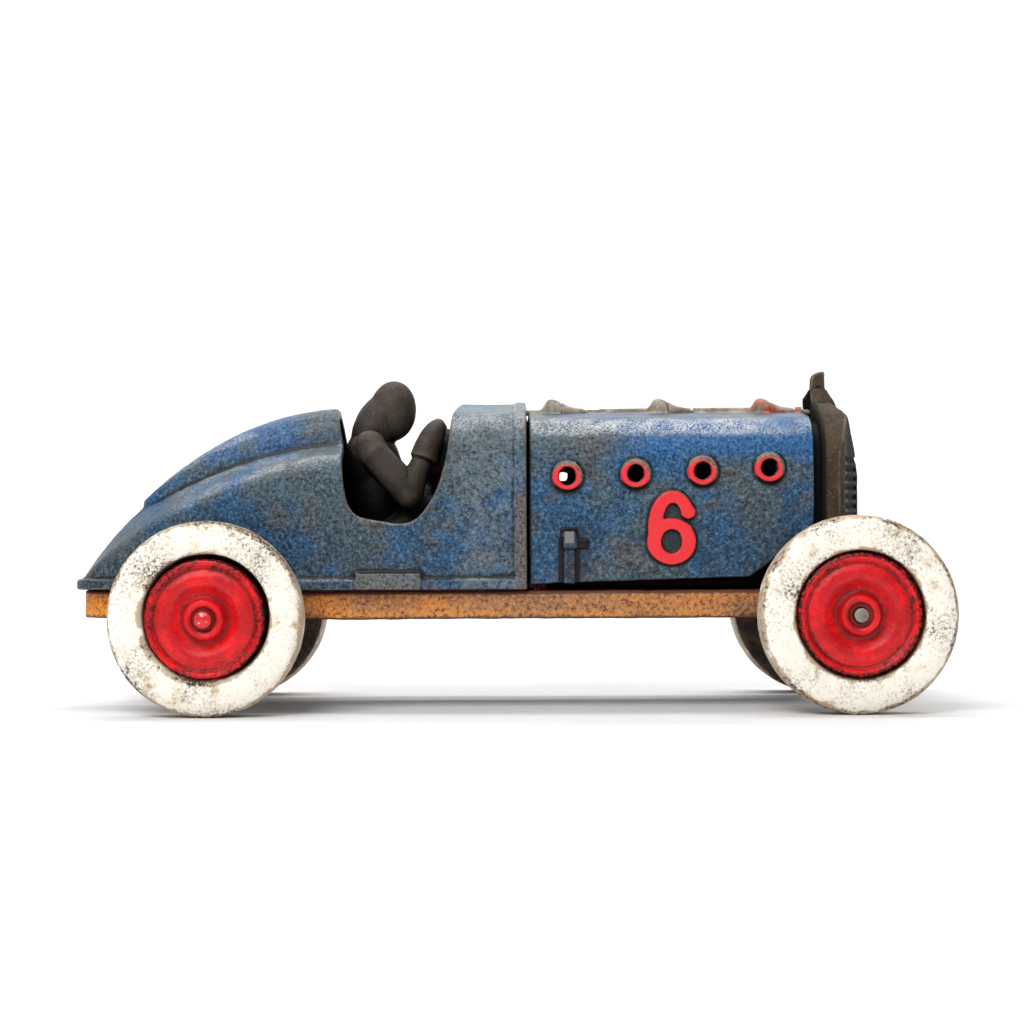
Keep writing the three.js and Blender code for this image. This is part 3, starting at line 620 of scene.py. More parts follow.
# ---- Bonnet doors ----
def arch_line(grow, foot=30):
    """One half of the doors' arched outline, grown outwards."""
    corner = np.array((DOOR_HALF_WIDTH - 0.2 + grow, DOOR_SHOULDER_Z + grow))
    peak = np.array((0, DOOR_PEAK + grow))
    setback = 11 + grow
    slope = np.linalg.norm(peak - corner)
    deck = corner + (peak - corner) * setback / slope
    start = corner - (0, setback)
    t = np.linspace(0, 1, 24)[:, None]
    curve = (1 - t) ** 2 * start + 2 * (1 - t) * t * corner + t * t * deck
    return np.vstack([(DOOR_HALF_WIDTH + grow, foot), curve, (1.4, peak[1] - 0.2)])


def door_band(side):
    """A door's cross-section, as a band one wall thick."""
    return np.vstack([arch_line(0), arch_line(-DOOR_WALL)[::-1]]) * (side, 1)


def arch_slab(grow, foot, x0, x1):
    half = arch_line(grow, foot)
    return prism(np.vstack([half, half[::-1] * (-1, 1)]), 0, x0, x1)


LIP_GROW = -DOOR_WALL - 0.4


def bay_opening():
    return arch_slab(LIP_GROW - 1.3, 0, 0, 95)


def lip(x0, x1, grow=LIP_GROW):
    """An arched rib that closes off an end of the engine bay just inside the doors."""
    return cut(arch_slab(grow, BODY_BASE, x0, x1), bay_opening())


KNUCKLE = ((-2.6, 1.2), (-1.9, 2.0), (-1.2, 3.2), (-0.4, 3.85), (0.9, 3.85), (1.9, 3.5), (2.9, 3.0))
KNUCKLE_TAIL = ((3.0, 2.95), (3.9, 2.5), (5, 2.0), (6.3, 1.6), (8, 1.3), (9.8, 1.1))
BARREL_R = (1.05, 1.45)  # the hinge barrel's radius at its rear and front ends


def knuckle(profile, x):
    outline = [(0, profile[0][0]), *[(r, d) for d, r in profile], (0, profile[-1][0])]
    return turned(outline, (x, 0, HINGE_Z), axis=0, segments=32)


def numeral(side):
    """The raised racing number, drawn as the viewer on that side reads it."""
    across = -side

    def arc(cx, cz, rx, rz, start, end, steps):
        angles = np.linspace(start, end, steps)
        x = NUMERAL[0] + across * (cx + rx * np.cos(angles))
        return list(zip(x, NUMERAL[1] + cz + rz * np.sin(angles)))

    span = sorted((side * (DOOR_HALF_WIDTH - 1), side * (DOOR_HALF_WIDTH + 1.3)))
    bowl = prism(arc(0, -3.7, 6.6, 6.3, 0, 2 * math.pi, 61)[:-1], 1, *span)
    hook = [
        *arc(0.3, 0.1, 6.6, 9.9, 0.52, math.pi + 0.25, 40),
        *arc(0.4, 0.1, 2.9, 6.5, math.pi + 0.25, 0.52, 30),
    ]
    tip = arc(4.5, 4.2, 1.9, 1.9, 0, 2 * math.pi, 25)[:-1]
    eye = arc(0, -3.7, 2.8, 3.2, 0, 2 * math.pi, 49)[:-1]
    made = join(bowl, prism(hook, 1, *span), prism(tip, 1, *span))
    return cut(made, prism(eye, 1, -40, 40))


def port_ring(x, z, side):
    face = DOOR_HALF_WIDTH
    outline = [(4.2, -1.4), (4.15, 0.6), (3.9, 1.1), (3.5, 1.5), (2.8, 1.5), (2.4, 1.2), (2.2, -1.4)]
    return turned([(r, side * (face + y)) for r, y in outline], (x, 0, z), segments=48, closed=True)


def lift_handle(side):
    face = DOOR_HALF_WIDTH - 0.1

    def slab(x0, x1, z0, z1, proud):
        return block(x0, x1, *sorted((side * (face - 1), side * (face + proud))), z0, z1)

    stem = slab(17.3, 20.3, 34.3, 44, 1.0)
    head = slab(16.9, 20.7, 43.6, 48.7, 1.7)
    knob = slab(20, 23.8, 43.8, 46.4, 1.1)
    return [stem, head, knob]


def door_blank(side):
    door = prism(door_band(side), 0, DOOR_REAR_X, DOOR_FRONT_X)
    trim = [(0, 0), (120, 0), (120, 74), (DOOR_FRONT_X, 48.6), (67.5, 35.9), (0, 33.9)]
    cut(door, prism(trim, 1, -60, 60))
    rings = [port_ring(x, z, side) for x, z in PORTS]
    join(door, *rings, *lift_handle(side), numeral(side))
    own, other = (KNUCKLE, KNUCKLE_TAIL) if side < 0 else (KNUCKLE_TAIL, KNUCKLE)
    clear = 1.25 if side < 0 else 1.8
    cut(door, block(0, 100, -clear, clear, HINGE_Z - 6, HINGE_Z + 6))
    if side < 0:
        barrel = tube((DOOR_REAR_X, 0, HINGE_Z), (DOOR_FRONT_X + 0.2, 0, HINGE_Z), *BARREL_R)
        join(door, barrel, block(DOOR_REAR_X, DOOR_FRONT_X, -2, -0.6, HINGE_Z - 1.3, HINGE_Z - 0.3))
    notches = []
    webs = []
    for x in KNUCKLE_X:
        reach = 0.4 + max(r for _, r in other)
        notches.append(block(x + other[0][0] - 0.25, x + other[-1][0] + 0.25, -reach, reach, 75, 88))
        span = sorted((side * 0.9, side * 4))
        webs.append(block(x + own[0][0], x + own[-1][0], *span, HINGE_Z - 1.9, HINGE_Z - 0.3))
    cut(door, *notches)
    join(door, *webs, *[knuckle(own, x) for x in KNUCKLE_X])
    holes = [tube((x, side * 20, z), (x, side * 40, z), 2.2) for x, z in PORTS]
    return cut(door, *holes, tube((0, 0, HINGE_Z), (100, 0, HINGE_Z), 0.95))


def mark_rings(door):
    """Stores how far each point lies towards a port ring's worn upper front, in millimetres."""
    place = places(door.data)
    worn = np.zeros(len(place))
    for x, z in PORTS:
        dx, dz = place[:, 0] - x, place[:, 2] - z
        away = np.hypot(dx, dz)
        worn = np.where(away < 6, away - 3.4 + 0.22 * (0.5 * dx + 0.87 * dz), worn)
    mark(door, "ring_worn", worn)


def add_doors(look):
    for name, side in SIDES.items():
        door = door_blank(side)
        cast(door, voxel=0.33, soften=2, lumps=0.22, grain=0.08)
        mark_surface(door, passes=9)
        mark_rings(door)
        show(door, f"bonnet_casting_{name}", look, f"door_{name}", [f"bonnet_door_{name}"])


# ---- Radiator ----
def radiator_form(inset):
    width = 26.2 - inset
    top = 82.3 - inset
    base = BODY_BASE + inset
    nose = 100.4 - inset
    back = 87 - inset
    arch = bezier((width, 66 - inset), (width, 78 - inset), (17 - inset, top - 1), (0, top + 2.6), steps=30)
    front = [(width, base), *arch, *[(-y, z) for y, z in arch[-2::-1]], (-width, base)]
    brow = ((98.8, 70), (96.8, 75.5), (94.6, 80.2))
    crown = through([(nose, 63), *[(x - inset, z) for x, z in brow], (92.4 - inset, top + 1)])
    side = [(back, base), (nose, base), *crown, (90.6 - inset, top + 3), (back, top + 3)]
    half = [(back, width), (91.6 - inset, width), (93.1 - inset, width - 1.8), (nose, 0.8)]
    plan = [*half, *[(x, -y) for x, y in reversed(half)]]
    made = prism(front, 0, 80, 110)
    return overlap(made, prism(side, 1, -40, 40), prism(plan, 2, 0, 100))


def filler_cap():
    skirt = [(0, 80), (5.4, 80), (5.3, 82.6), (4.6, 84.4), (3.2, 86.4), (2.5, 87.6), (0, 87.6)]
    flare = turned(skirt, (89.4, 0, 0), axis=2)
    lever = [(87.3, 86), (87.4, 90.6), (87.9, 91.7), (88.9, 92.3), (90.8, 92.7), (91.2, 92.2), (91.4, 86)]
    fin = [(85.2, HINGE_Z - 2), (88, HINGE_Z - 2), (88, 87.6), (86.4, 86.6), (85.2, 85)]
    cap = join(flare, prism(lever, 1, -1.9, 1.9), prism(fin, 1, -0.95, 0.95))
    beside = [block(70, 87, *span, 70, 90) for span in ((-9, -0.95), (0.95, 9))]
    return cut(cap, *beside, block(70, 85.2, -9, 9, 70, 90))


def add_radiator(look):
    shell = cut(radiator_form(0), radiator_form(2.6))
    flange = cut(overlap(radiator_form(0), block(80, 88.4, -40, 40, 0, 100)), bay_opening())
    join(shell, flange, lip(DOOR_FRONT_X - 0.8, 88.4), filler_cap())
    slope = math.atan2(100.4 - 93.1, 23.6)
    grooves = []
    for side in SIDES.values():
        for z in np.arange(37, 69, 2.55):
            groove = block(-0.9, 0.9, *sorted((side * -9.4, side * 11.4)), -0.7, 0.7)
            turn = Matrix.Rotation(side * slope, 4, "Z")
            groove.data.transform(Matrix.Translation(Vector((97.0, side * 11.9, z)) * MM) @ turn)
            grooves.append(groove)
    cut(shell, *grooves, tube((80, 0, HINGE_Z), (90, 0, HINGE_Z), 1.1))
    cast(shell, voxel=0.35, soften=2, lumps=0.3, grain=0.15)
    mark_surface(shell)
    show(shell, "radiator_casting", look, "car_body", ["radiator"])


# ---- Driver ----
def limb(points, radii):
    parts = [egg(points[0], [radii[0]] * 3)]
    for i in range(len(points) - 1):
        parts.append(tube(points[i], points[i + 1], radii[i], radii[i + 1]))
        parts.append(egg(points[i + 1], [radii[i + 1]] * 3))
    return parts


def add_driver(look):
    figure = egg((-29.9, 0, 82), (6.6, 6.2, 8.6), 8)
    parts = [
        egg((-34.6, 0, 77.4), (6.3, 6.8, 10.2), 24),
        egg((-37.6, 0, 67.6), (6.0, 11, 8.8), -6),
        egg((-34.8, 0, 61), (8, 9.4, 16), 2),
        egg((-34, 0, 45), (8.6, 9.4, 10)),
        block(-42, -15, -8.4, 8.4, BODY_BASE, 43),
    ]
    for side in SIDES.values():
        parts += limb(
            [
                (-35.6, side * 9, 72.2),
                (-34.3, side * 10.8, 69.6),
                (-25, side * 11.2, 59),
                (-21.6, side * 10.8, 67),
            ],
            [4.3, 4.2, 4.2, 3],
        )
        parts.append(tube((-20.8, side * 10.6, 68.4), (-19.3, side * 10, 73), 4.0, 3.5))
        parts.append(egg((-19.4, side * 9.8, 72.6), (3.6, 3.4, 7.7), 27))
        parts += limb([(-33, side * 4, 46), (-18, side * 4, 54), (-16.6, side * 4, 44)], [4.8, 4.5, 4.4])
    lean = Vector((math.cos(math.radians(11)), 0, -math.sin(math.radians(11))))
    wheel = Vector((-16.0, 0, 68.3))
    parts.append(tube(wheel - lean * 1.5, wheel + lean * 1.5, 9.0, segments=64))
    parts.append(tube(wheel - lean, (-16, 0, 46), 3.4, 4.4))
    parts.append(egg((-21.5, 0, 51), (8.5, 8.2, 10.5)))
    join(figure, *parts)
    cast(figure, voxel=0.4, soften=9, lumps=0.3, grain=0.12)
    mark_surface(figure)
    show(figure, "driver_casting", look, "car_body", ["driver"])


# ---- Wheels and axles ----
TYRE = (
    (14.9, 31.6),
    (20, 31.6),
    (23.8, 31.7),
    (25.0, 32.4),
    (25.6, 33.6),
    (25.8, 35),
    (25.8, 38),
    (25.8, 40.8),
    (25.5, 42),
    (24.8, 43),
    (23.6, 43.6),
    (21.8, 43.9),
    (20, 44),
    (18, 43.8),
    (16.8, 43.2),
    (16.4, 42.4),
    (16.4, 35.6),
    (14.9, 35.4),
)
DISC = (
    (2.0, 26.2),
    (4.6, 26.2),
    (5, 38),
    (14.2, 37.4),
    (14.2, 33),
    (16.1, 33),
    (16.1, 42.0),
    (15.8, 42.7),
    (15.2, 43.1),
    (14.5, 43.0),
    (13.9, 42.3),
    (13.4, 41.8),
    (12.8, 42.0),
    (11.8, 42.5),
    (10.4, 42.7),
    (9.2, 42.4),
    (8.2, 41.7),
    (7.2, 41.1),
    (6.4, 40.8),
    (5.8, 41.0),
    (5.4, 42.2),
    (5.3, 43.6),
    (4.8, 44.3),
    (4.2, 44.4),
    (3.5, 44.0),
    (2.9, 43.4),
    (2.0, 43.6),
)
DISC_SCALE = {"front": 1.025, "rear": 0.992}  # of a disc's rim, outside its hub
BORE_SHIFT = {"front": (0.1, 0.1), "rear": (0.75, 0.7)}  # how far off centre a tyre's bore is


def finer(outline, pitch, closed):
    """The same outline with points about a pitch apart, its corners slightly eased."""
    points = np.asarray(outline, float)
    ring = np.vstack([points, points[:1]]) if closed else points
    steps = np.linalg.norm(np.diff(ring, axis=0), axis=1)
    along = np.concatenate([[0], np.cumsum(steps)])
    at = np.linspace(0, along[-1], max(8, int(along[-1] / pitch)), endpoint=not closed)
    fine = np.column_stack([np.interp(at, along, ring[:, k]) for k in (0, 1)])
    for _ in range(2):
        if closed:
            fine = 0.5 * fine + 0.25 * (np.roll(fine, 1, 0) + np.roll(fine, -1, 0))
        else:
            fine[1:-1] = 0.5 * fine[1:-1] + 0.25 * (fine[:-2] + fine[2:])
    return fine


def add_wheels(tyre_look, disc_look, axle_looks):
    for end, (x, z) in AXLES.items():
        centre = (x, 0, z)
        scale = z / 25.8
        for name, side in SIDES.items():
            wheel = f"{end}_{name}"
            outline = finer(TYRE, 0.5, True) * (scale, side)
            tyre = turned(outline, centre, segments=200, closed=True)
            shift_bore(tyre, (x, z), BORE_SHIFT[end])
            roughen(tyre, ((9, 0.3), (2, 0.16), (0.8, 0.06)))
            mark_surface(tyre, (x, z))
            body = f"wheel_{wheel}"
            show(tyre, f"tyre_casting_{wheel}", tyre_look, body, [f"tyre_{wheel}"])
            outline = finer(DISC, 0.3, True)
            outline[:, 0] = np.where(outline[:, 0] > 6, outline[:, 0] * DISC_SCALE[end], outline[:, 0])
            disc = turned(outline * (1, side), centre, segments=160, closed=True)
            roughen(disc, ((4, 0.2), (1.2, 0.14), (0.6, 0.06)))
            mark_surface(disc, (x, z))
            node = f"wheel_disc_{wheel}"
            show(disc, f"disc_casting_{wheel}", disc_look, body, [node])
        head = 2.0 if end == "front" else 2.45
        crown = [(0, 45.6), (0.5 * head, 45.55), (0.86 * head, 45.2), (head, 44.75)]
        half = [*crown, (AXLE_R, 44.7), (AXLE_R, 0)]
        outline = [*half, *[(r, -y) for r, y in half[-2::-1]]]
        axle = turned(finer(outline, 0.25, False), centre, segments=40)
        roughen(axle, ((1.5, 0.15),))
        mark_surface(axle, (x, z))
        body = f"axle_set_{end}"
        show(axle, f"axle_rod_{end}", axle_looks[end], body, [f"axle_{end}"])


def shift_bore(tyre, axis_at, shift):
    """Moves the bore's surface sideways and leaves the tread where it is."""
    for vert in tyre.data.vertices:
        away = math.hypot(vert.co.x / MM - axis_at[0], vert.co.z / MM - axis_at[1])
        share = 1 - smoothstep(17, 21, away)
        vert.co.x += shift[0] * share * MM
        vert.co.z += shift[1] * share * MM


# ---- Engine, hinge rod and fasteners ----
def add_engine(look):
    engine = block(20, 80, -9.5, 9.5, BODY_BASE, 50)
    parts = [block(13, 22, -10.5, 10.5, BODY_BASE, 62.2), block(19.2, 78, -5.6, 5.6, 61, 70)]
    parts += [tube((x, 0, 48), (x, 0, 63), 5.8) for x in (30, 43, 56, 69)]
    join(engine, *parts)
    cast(engine, voxel=0.6, soften=3, lumps=0.3, grain=0.15)
    mark_surface(engine)
    show(engine, "engine_casting", look, "car_body", ["engine"])


def add_hinge_rod(look):
    outline = [(0, 3.6), (0.8, 3.7), (0.8, 89.5), (0, 89.6)]
    rod = turned(finer(outline, 0.8, False), (0, 0, HINGE_Z), axis=0, segments=20)
    mark_surface(rod)
    show(rod, "hinge_pin", look, "car_body", ["hinge_rod"])


SCREWS = {
    "body_screw_front_right": (-4, -19.2),
    "body_screw_front_left": (-4, 19.2),
    "body_screw_rear_right": (-64, -17.6),
    "body_screw_rear_left": (-64, 17.6),
    "radiator_screw": (91.2, 0),
}
RIVETS = {"driver_rivet": (-30, 0), "engine_rivet_rear": (30, 0), "engine_rivet_front": (72, 0)}


def add_fasteners(look):
    head = FASTENER_HEAD_Z
    for node, (x, y) in {**SCREWS, **RIVETS}.items():
        slotted = node in SCREWS
        crown = 1.4 if slotted else 1.2
        wide = 3.0 if slotted else 2.8
        dome = [(0, head - crown), (wide * 0.55, head - crown)]
        outline = [*dome, (wide * 0.9, head - crown * 0.55), (wide, head - 0.2)]
        outline += [(wide, head), (1.25, head), (1.25, 40), (0, 40)]
        made = turned(outline, (x, y, 0), axis=2, segments=40)
        if slotted:
            cut(made, block(x - 4, x + 4, y - 0.4, y + 0.4, head - 2, head - 0.8))
        mark_surface(made)
        show(made, f"{node}_metal", look, "car_body", [node])


# ---- Materials ----
def blue_look(name, door):
    look = Look(name, specular=0.3)
    edge, up = look.attribute("edge"), look.upward()
    x, z = look.axis("X"), look.axis("Z")
    broad = look.noise(26, detail=4, roughness=0.55, seed=0.4)
    middle = look.noise(6, detail=6, roughness=0.65, seed=1.1)
    fine = look.noise(0.9, detail=5, roughness=0.85)
    speck = look.noise(0.5, detail=3, roughness=0.8, seed=2.3)

    base = look.blend(look.ramp(broad, 0.44, 0.56), rgb("23567E"), rgb("465860"))
    low = look.both(look.ramp(z, 66, 44), look.ramp(middle, 0.3, 0.6))
    base = look.tint(base, low, 0.6, "27333F")
    brown = look.ramp(look.noise(11, detail=6, roughness=0.6, seed=3.7), 0.5, 0.64)
    base = look.tint(base, brown, 0.7, "55504A")
    if door:
        lit = look.both(look.ramp(z, 65, 71), look.ramp(z, 80, 77), look.ramp(x, 24, 44))
        base = look.tint(base, lit, 0.85, "0C5E9A")
    else:
        lit = look.both(look.ramp(z, 66, 71), look.ramp(x, -50, -62), look.ramp(broad, 0.62, 0.45))
        base = look.tint(base, lit, 0.8, "22578E")
        cowl = look.both(look.ramp(x, -16, -8), look.ramp(middle, 0.35, 0.6))
        base = look.tint(base, cowl, 0.55, "727C80")
        corner = look.both(look.ramp(x, 3.6, 4.8), look.ramp(z, 64, 56))
        base = look.tint(base, corner, 0.9, "655A52")
        tab = look.both(look.ramp(x, -39.2, -38.6), look.ramp(x, -20.8, -21.4), look.ramp(z, 37.8, 37.0))
        base = look.tint(base, tab, 0.75, "716B62")
        tail = look.ramp(x, -98, -116)
        base = look.tint(base, tail, 0.75, "2A3036")
    base = look.tint(base, look.ramp(fine, 0.52, 0.63), 0.5, "84A0B8")
    base = look.tint(base, look.ramp(fine, 0.5, 0.4), 0.9, "121A22")
    # Pale flecks on surfaces that face up: a painted highlight.
    upward_highlight = look.both(look.ramp(up, 0.4, 0.6), look.ramp(up, 0.99, 0.9), look.ramp(broad, 0.36, 0.52))
    if not door:
        shoulder = look.both(look.ramp(x, -96, -80), look.ramp(z, 76.5, 75))
        upward_highlight = look.both(upward_highlight, look.either(look.ramp(x, -42, -40), shoulder))
    highlight_specks = look.ramp(look.math("ADD", speck, look.math("MULTIPLY", middle, 0.5)), 0.68, 0.84)
    base = look.tint(base, look.both(upward_highlight, highlight_specks), 0.9 if door else 0.5, "BEC1C2")

    worn = look.math("ADD", look.math("MULTIPLY", edge, 1.5), look.math("MULTIPLY", middle, 1.0))
    wear = look.ramp(look.math("ADD", worn, look.math("MULTIPLY", fine, 0.5)), 1.12, 1.26)
    worn_tone = look.blend(look.ramp(speck, 0.4, 0.6), rgb("4A423A"), rgb("7C7468"))
    base = look.blend(look.math("MULTIPLY", wear, 0.85), base, worn_tone)
    # Concave creases are darkened nearly to black: dirt and painted shade.
    dirt_and_shade = look.ramp(look.math("ADD", edge, look.math("MULTIPLY", middle, 0.12)), 0.02, -0.1)
    base = look.tint(base, dirt_and_shade, 0.92, "0C0B0B")
    pits = look.ramp(look.noise(1.7, detail=2, seed=7.7), 0.73, 0.77)
    base = look.blend(pits, base, rgb("0C0E12"))
    if door:
        base = door_details(look, base, fine, middle)
        hidden = look.math("MULTIPLY", look.ramp(x, 9.0, 8.3), 0.9)
    else:
        hidden = look.ramp(x, 7.1, 7.5)
    # Surfaces facing into the casting, and the door gap's edges that hidden picks out, are painted
    # near-black: painted shade.
    base = look.blend(look.either(look.attribute("inside"), hidden), base, rgb("060505"))
    look.colour(base)
    look.roughness(look.math("ADD", look.math("MULTIPLY", fine, 0.4), 0.12))
    look.bump(look.noise(0.7, detail=5, roughness=0.75, seed=1), 0.13)
    look.bump(look.math("MULTIPLY", pits, -1), 0.3)
    return look


def door_details(look, base, fine, middle):
    """Paints the number, the port rings, the handle's knob and the worn strip along the hinge."""
    x, z = look.axis("X"), look.axis("Z")
    out = look.math("ABSOLUTE", look.axis("Y"))
    proud = look.ramp(out, DOOR_HALF_WIDTH + 0.4, DOOR_HALF_WIDTH + 0.7)

    def within(x0, x1, z0, z1, soft=0.3):
        across = look.both(look.ramp(x, x0, x0 + soft), look.ramp(x, x1, x1 - soft))
        return look.both(across, look.ramp(z, z0, z0 + soft), look.ramp(z, z1, z1 - soft))

    latch = within(14.5, 26, 33, 51, 4)
    base = look.tint(base, latch, 0.5, "22262A")
    # Near-black lines beside the handle's stem and along the top of its head: a painted shadow, with dirt in
    # the corners.
    beside_stem = look.either(within(15.7, 17.4, 33, 47), within(20.2, 21.9, 33, 44))
    grooves = look.either(beside_stem, within(16.2, 21.4, 47.8, 49.6))
    base = look.tint(base, grooves, 0.95, "08080A")
    base = look.blend(look.both(proud, within(20.8, 24.5, 43, 47)), base, rgb("0B0B0C"))
    base = look.blend(look.both(proud, within(17.4, 20.2, 45, 48.4)), base, rgb("7C7A76"))
    eyes = look.either(within(43.2, 49.4, 41.6, 49), within(43.6, 50.5, 49.6, 55.6))
    base = look.tint(base, eyes, 0.8, "26292C")
    red = look.blend(look.ramp(fine, 0.58, 0.74), rgb("EC343A"), rgb("B0262C"))
    glint = look.ramp(look.math("ADD", look.attribute("edge"), fine), 0.92, 0.98)
    number = look.both(proud, within(38, 54.8, 30, 60))
    base = look.blend(number, base, look.blend(glint, red, rgb("F6A090")))
    bevel = look.math("ADD", look.attribute("ring_worn"), look.math("MULTIPLY", middle, 1.2))
    bare = look.blend(look.ramp(fine, 0.4, 0.6), rgb("5E4C40"), rgb("9A8068"))
    ring = look.blend(look.ramp(bevel, 0.75, 1.05), red, bare)
    base = look.blend(look.both(proud, within(10, 82, 57, 72)), base, ring)
    crest = look.both(look.ramp(z, 79.7, 80.1), look.ramp(out, 4.6, 4.0))
    strip = look.either(crest, look.ramp(z, 81.7, 81.9))
    tan = look.blend(look.ramp(middle, 0.4, 0.6), rgb("6A6257"), rgb("A4998B"))
    painted = look.both(look.ramp(x, 69, 72), look.ramp(look.noise(3, seed=4.4), 0.42, 0.54))
    return look.blend(strip, base, look.blend(painted, tan, rgb("B05A38")))


def orange_look():
    look = Look("orange_paint", roughness=0.5, specular=0.3)
    edge = look.attribute("edge")
    z = look.axis("Z")
    patches = look.noise(9, detail=6, roughness=0.65, stretch=(0.45, 1, 1))
    broad = look.noise(34, detail=3, seed=2.2)
    rust = look.noise(1.0, detail=5, roughness=0.75, seed=2)
    base = look.blend(look.ramp(patches, 0.4, 0.62), rgb("DA7E26"), rgb("A8662E"))
    base = look.tint(base, look.ramp(broad, 0.46, 0.62), 0.7, "8E6248")
    # Lighter orange along the bottom edge: a painted highlight.
    base = look.blend(look.both(look.ramp(z, 28.5, 26), look.ramp(patches, 0.62, 0.42)), base, rgb("DC8C3C"))
    front = look.ramp(look.axis("X"), -70, 20)
    base = look.tint(base, front, 0.5, "94745A")
    base = look.tint(base, look.ramp(rust, 0.48, 0.4), 0.6, "E09A48")
    base = look.tint(base, look.ramp(rust, 0.54, 0.6), 0.85, "5A2412")
    # The top face is dark red with brighter specks: painted shade under the body.
    top = look.ramp(look.math("ADD", z, look.math("MULTIPLY", patches, 1.2)), 31.9, 32.4)
    base = look.blend(top, base, look.blend(look.ramp(rust, 0.5, 0.6), rgb("4A1208"), rgb("A03018")))
    wear = look.ramp(look.math("ADD", edge, look.math("MULTIPLY", rust, 0.6)), 0.52, 0.62)
    base = look.tint(base, wear, 0.7, "5A3A26")
    # Surfaces that face inwards or down are dark brown: painted shade.
    look.colour(look.blend(look.attribute("inside"), base, rgb("2A1A12")))
    look.bump(look.noise(0.9, detail=5, roughness=0.65), 0.12)
    return look


def red_look():
    look = Look("red_wheel_paint", roughness=0.16, specular=0.35)
    edge, radius = look.attribute("edge"), look.attribute("radius")
    tone = look.noise(7, detail=4, seed=0.6)
    chips = look.noise(1.0, detail=6, roughness=0.75, seed=4)
    base = look.blend(look.ramp(tone, 0.4, 0.6), rgb("E8141A"), rgb("C60E16"))
    base = look.tint(base, look.ramp(chips, 0.5, 0.62), 0.5, "8A0E14")
    rim = look.both(look.ramp(radius, 12.8, 13.4), look.ramp(tone, 0.4, 0.55))
    base = look.blend(look.both(rim, look.ramp(chips, 0.45, 0.58)), base, rgb("3C120E"))
    seam = look.both(look.ramp(radius, 15.0, 15.7), look.ramp(chips, 0.4, 0.52))
    base = look.blend(seam, base, rgb("24100A"))
    # Concave creases are darkened: dirt and painted shade.
    dirt_and_shade = look.ramp(look.math("ADD", edge, look.math("MULTIPLY", chips, 0.1)), -0.04, -0.22)
    base = look.tint(base, dirt_and_shade, 0.75, "3A0508")
    # A dark ring round the axle's end: painted shade in the hub's recess.
    hole = look.ramp(radius, 3.6, 3.2)
    base = look.tint(base, hole, 0.75, "2A1A10")
    behind = look.ramp(look.math("ABSOLUTE", look.axis("Y")), 40.0, 38.5)
    look.colour(look.blend(behind, base, rgb("2A1612")))
    look.bump(look.math("MULTIPLY", chips, -1), 0.18)
    return look


def tyre_look():
    look = Look("tyre_white_paint", roughness=0.5, specular=0.3)
    radius = look.attribute("radius")
    broad = look.noise(16, detail=3, seed=1.3)
    stain = look.noise(4.5, detail=6, roughness=0.7)
    specks = look.noise(0.8, detail=5, roughness=0.8, seed=5)
    base = look.blend(look.ramp(stain, 0.5, 0.72), rgb("FFF9EC"), rgb("DCC8A6"))
    dirty = look.math("ADD", specks, look.math("MULTIPLY", broad, 0.6))
    grey = look.ramp(dirty, 0.8, 0.92)
    base = look.tint(base, grey, 0.6, "9A8C7C")
    rim = look.either(look.ramp(radius, 24.2, 25.6), look.ramp(radius, 18.4, 16.9))
    rim_stain = look.ramp(look.math("ADD", look.math("MULTIPLY", rim, 0.26), stain), 0.6, 0.72)
    base = look.tint(base, rim_stain, 0.7, "A8865C")
    pits = look.ramp(look.math("ADD", dirty, look.math("MULTIPLY", rim, 0.1)), 0.94, 0.99)
    base = look.blend(pits, base, rgb("4E3826"))
    out = look.math("ABSOLUTE", look.axis("Y"))
    bore = look.both(look.ramp(radius, 17.5, 16.9), look.ramp(out, 43.6, 42.8))
    bare = look.either(look.ramp(out, 32.9, 32.3), bore)
    iron = look.blend(look.ramp(stain, 0.4, 0.65), rgb("2A231D"), rgb("5A4636"))
    look.colour(look.blend(bare, base, iron))
    look.bump(look.noise(0.9, detail=6, roughness=0.75), 0.12)
    look.bump(look.math("MULTIPLY", pits, -1), 0.25)
    return look


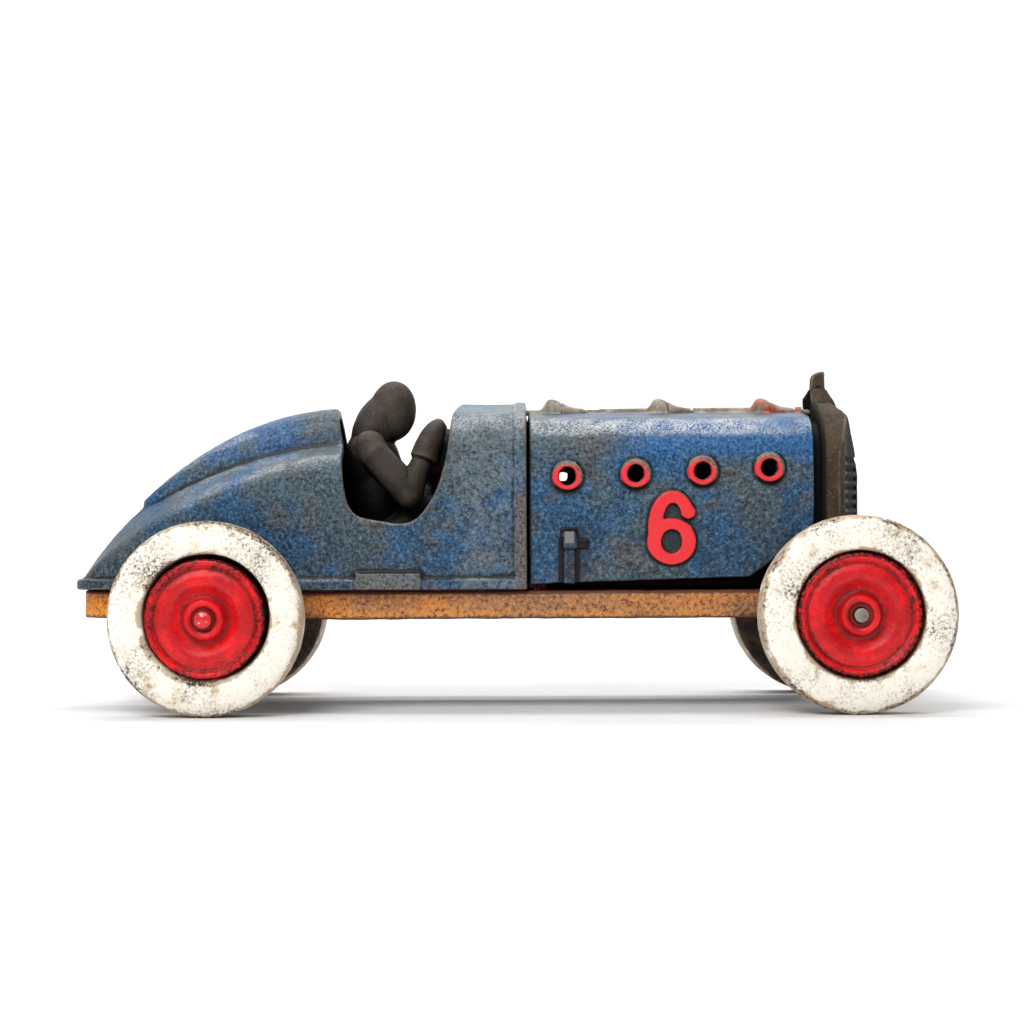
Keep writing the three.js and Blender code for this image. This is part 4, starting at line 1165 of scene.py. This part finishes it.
def iron_look(name, base_code, pale_code, dark_code, roughness=0.5, specular=0.18, hidden=None):
    """Bare iron with a brown skin. Points where hidden(look) is 1 are painted black: painted shade, and on
    the radiator's grille its own dark colour as well.
    """
    look = Look(name, roughness=roughness, metallic=0.1, specular=specular)
    edge = look.attribute("edge")
    tone = look.noise(7, detail=6, roughness=0.6)
    specks = look.noise(0.7, detail=5, roughness=0.8, seed=6)
    base = look.blend(look.ramp(tone, 0.4, 0.64), rgb(base_code), rgb(dark_code))
    base = look.blend(look.math("MULTIPLY", look.ramp(specks, 0.54, 0.68), 0.6), base, rgb(pale_code))
    rub = look.ramp(look.math("ADD", edge, look.math("MULTIPLY", tone, 0.4)), 0.3, 0.5)
    base = look.blend(look.math("MULTIPLY", rub, 0.6), base, rgb(pale_code))
    # Concave creases are painted black: dirt and painted shade.
    dirt_and_shade = look.ramp(edge, -0.02, -0.16)
    if hidden:
        dirt_and_shade = look.either(dirt_and_shade, hidden(look))
    look.colour(look.blend(dirt_and_shade, base, rgb("0A0908")))
    look.bump(look.noise(0.6, detail=5, roughness=0.7, seed=7), 0.12)
    return look


def radiator_shade_and_dark_grille(look):
    # Darkens the grille's face, for its own dark colour and painted shade, and paints black the area under
    # the filler cap and the inner surfaces: painted shade.
    grille = look.ramp(look.axis("X"), 94.2, 95.4)
    under_cap = look.both(look.ramp(look.axis("Z"), 84.6, 83.4), look.ramp(look.axis("X"), 88.6, 87.6))
    inner = look.either(look.attribute("inside"), look.ramp(look.axis("X"), 87.3, 87.0))
    return look.either(inner, look.math("MULTIPLY", grille, 0.8), under_cap)


def cockpit_shade(look):
    # The driver's parts under his chin, behind the wheel, at his back and below the cockpit rim are painted
    # black: painted shade.
    out = look.math("ABSOLUTE", look.axis("Y"))
    middle = look.both(look.ramp(out, 9.6, 8.6), look.ramp(look.axis("Z"), 74, 70))
    x, z = look.axis("X"), look.axis("Z")
    wheel = look.both(look.ramp(out, 9.4, 9.0), look.ramp(x, -19.2, -18.4))
    lap = look.both(look.ramp(x, -20.4, -19.2), look.ramp(z, 66, 64.5))
    along = look.math("ADD", look.math("MULTIPLY", x, 1.136), z)
    back = look.both(look.ramp(along, 26, 23.5), look.ramp(z, 75, 71))
    return look.either(middle, wheel, lap, back, look.ramp(z, 54.8, 53.8))


def painted_axle_look():
    look = Look("painted_axle", roughness=0.2)
    head = look.ramp(look.math("ABSOLUTE", look.axis("Y")), 44.2, 44.5)
    # Pale flecks on the axle's red head: a painted highlight.
    worn = look.ramp(look.noise(1.2, detail=4, seed=3.1), 0.56, 0.66)
    red = look.blend(worn, rgb("D8242C"), rgb("F4D8CC"))
    look.colour(look.blend(head, rgb("3A2A22"), red))
    return look


# ---- The scene ----
add_camera()
add_studio()
add_body(blue_look("blue_body_paint", False))
add_doors(blue_look("blue_door_paint", True))
add_chassis(orange_look())
add_radiator(iron_look("radiator_patina", "4C3E30", "8A7C6C", "382C22", roughness=0.7, hidden=radiator_shade_and_dark_grille))
add_driver(iron_look("driver_patina", "443C35", "665C51", "342D26", hidden=cockpit_shade))
steel = iron_look("dull_steel", "8A857C", "B8B0A4", "5A5248", roughness=0.4)
add_wheels(tyre_look(), red_look(), {"front": steel, "rear": painted_axle_look()})
add_engine(iron_look("engine_iron", "1E1A16", "3A332A", "12100E", roughness=0.7))
add_hinge_rod(steel)
add_fasteners(steel)
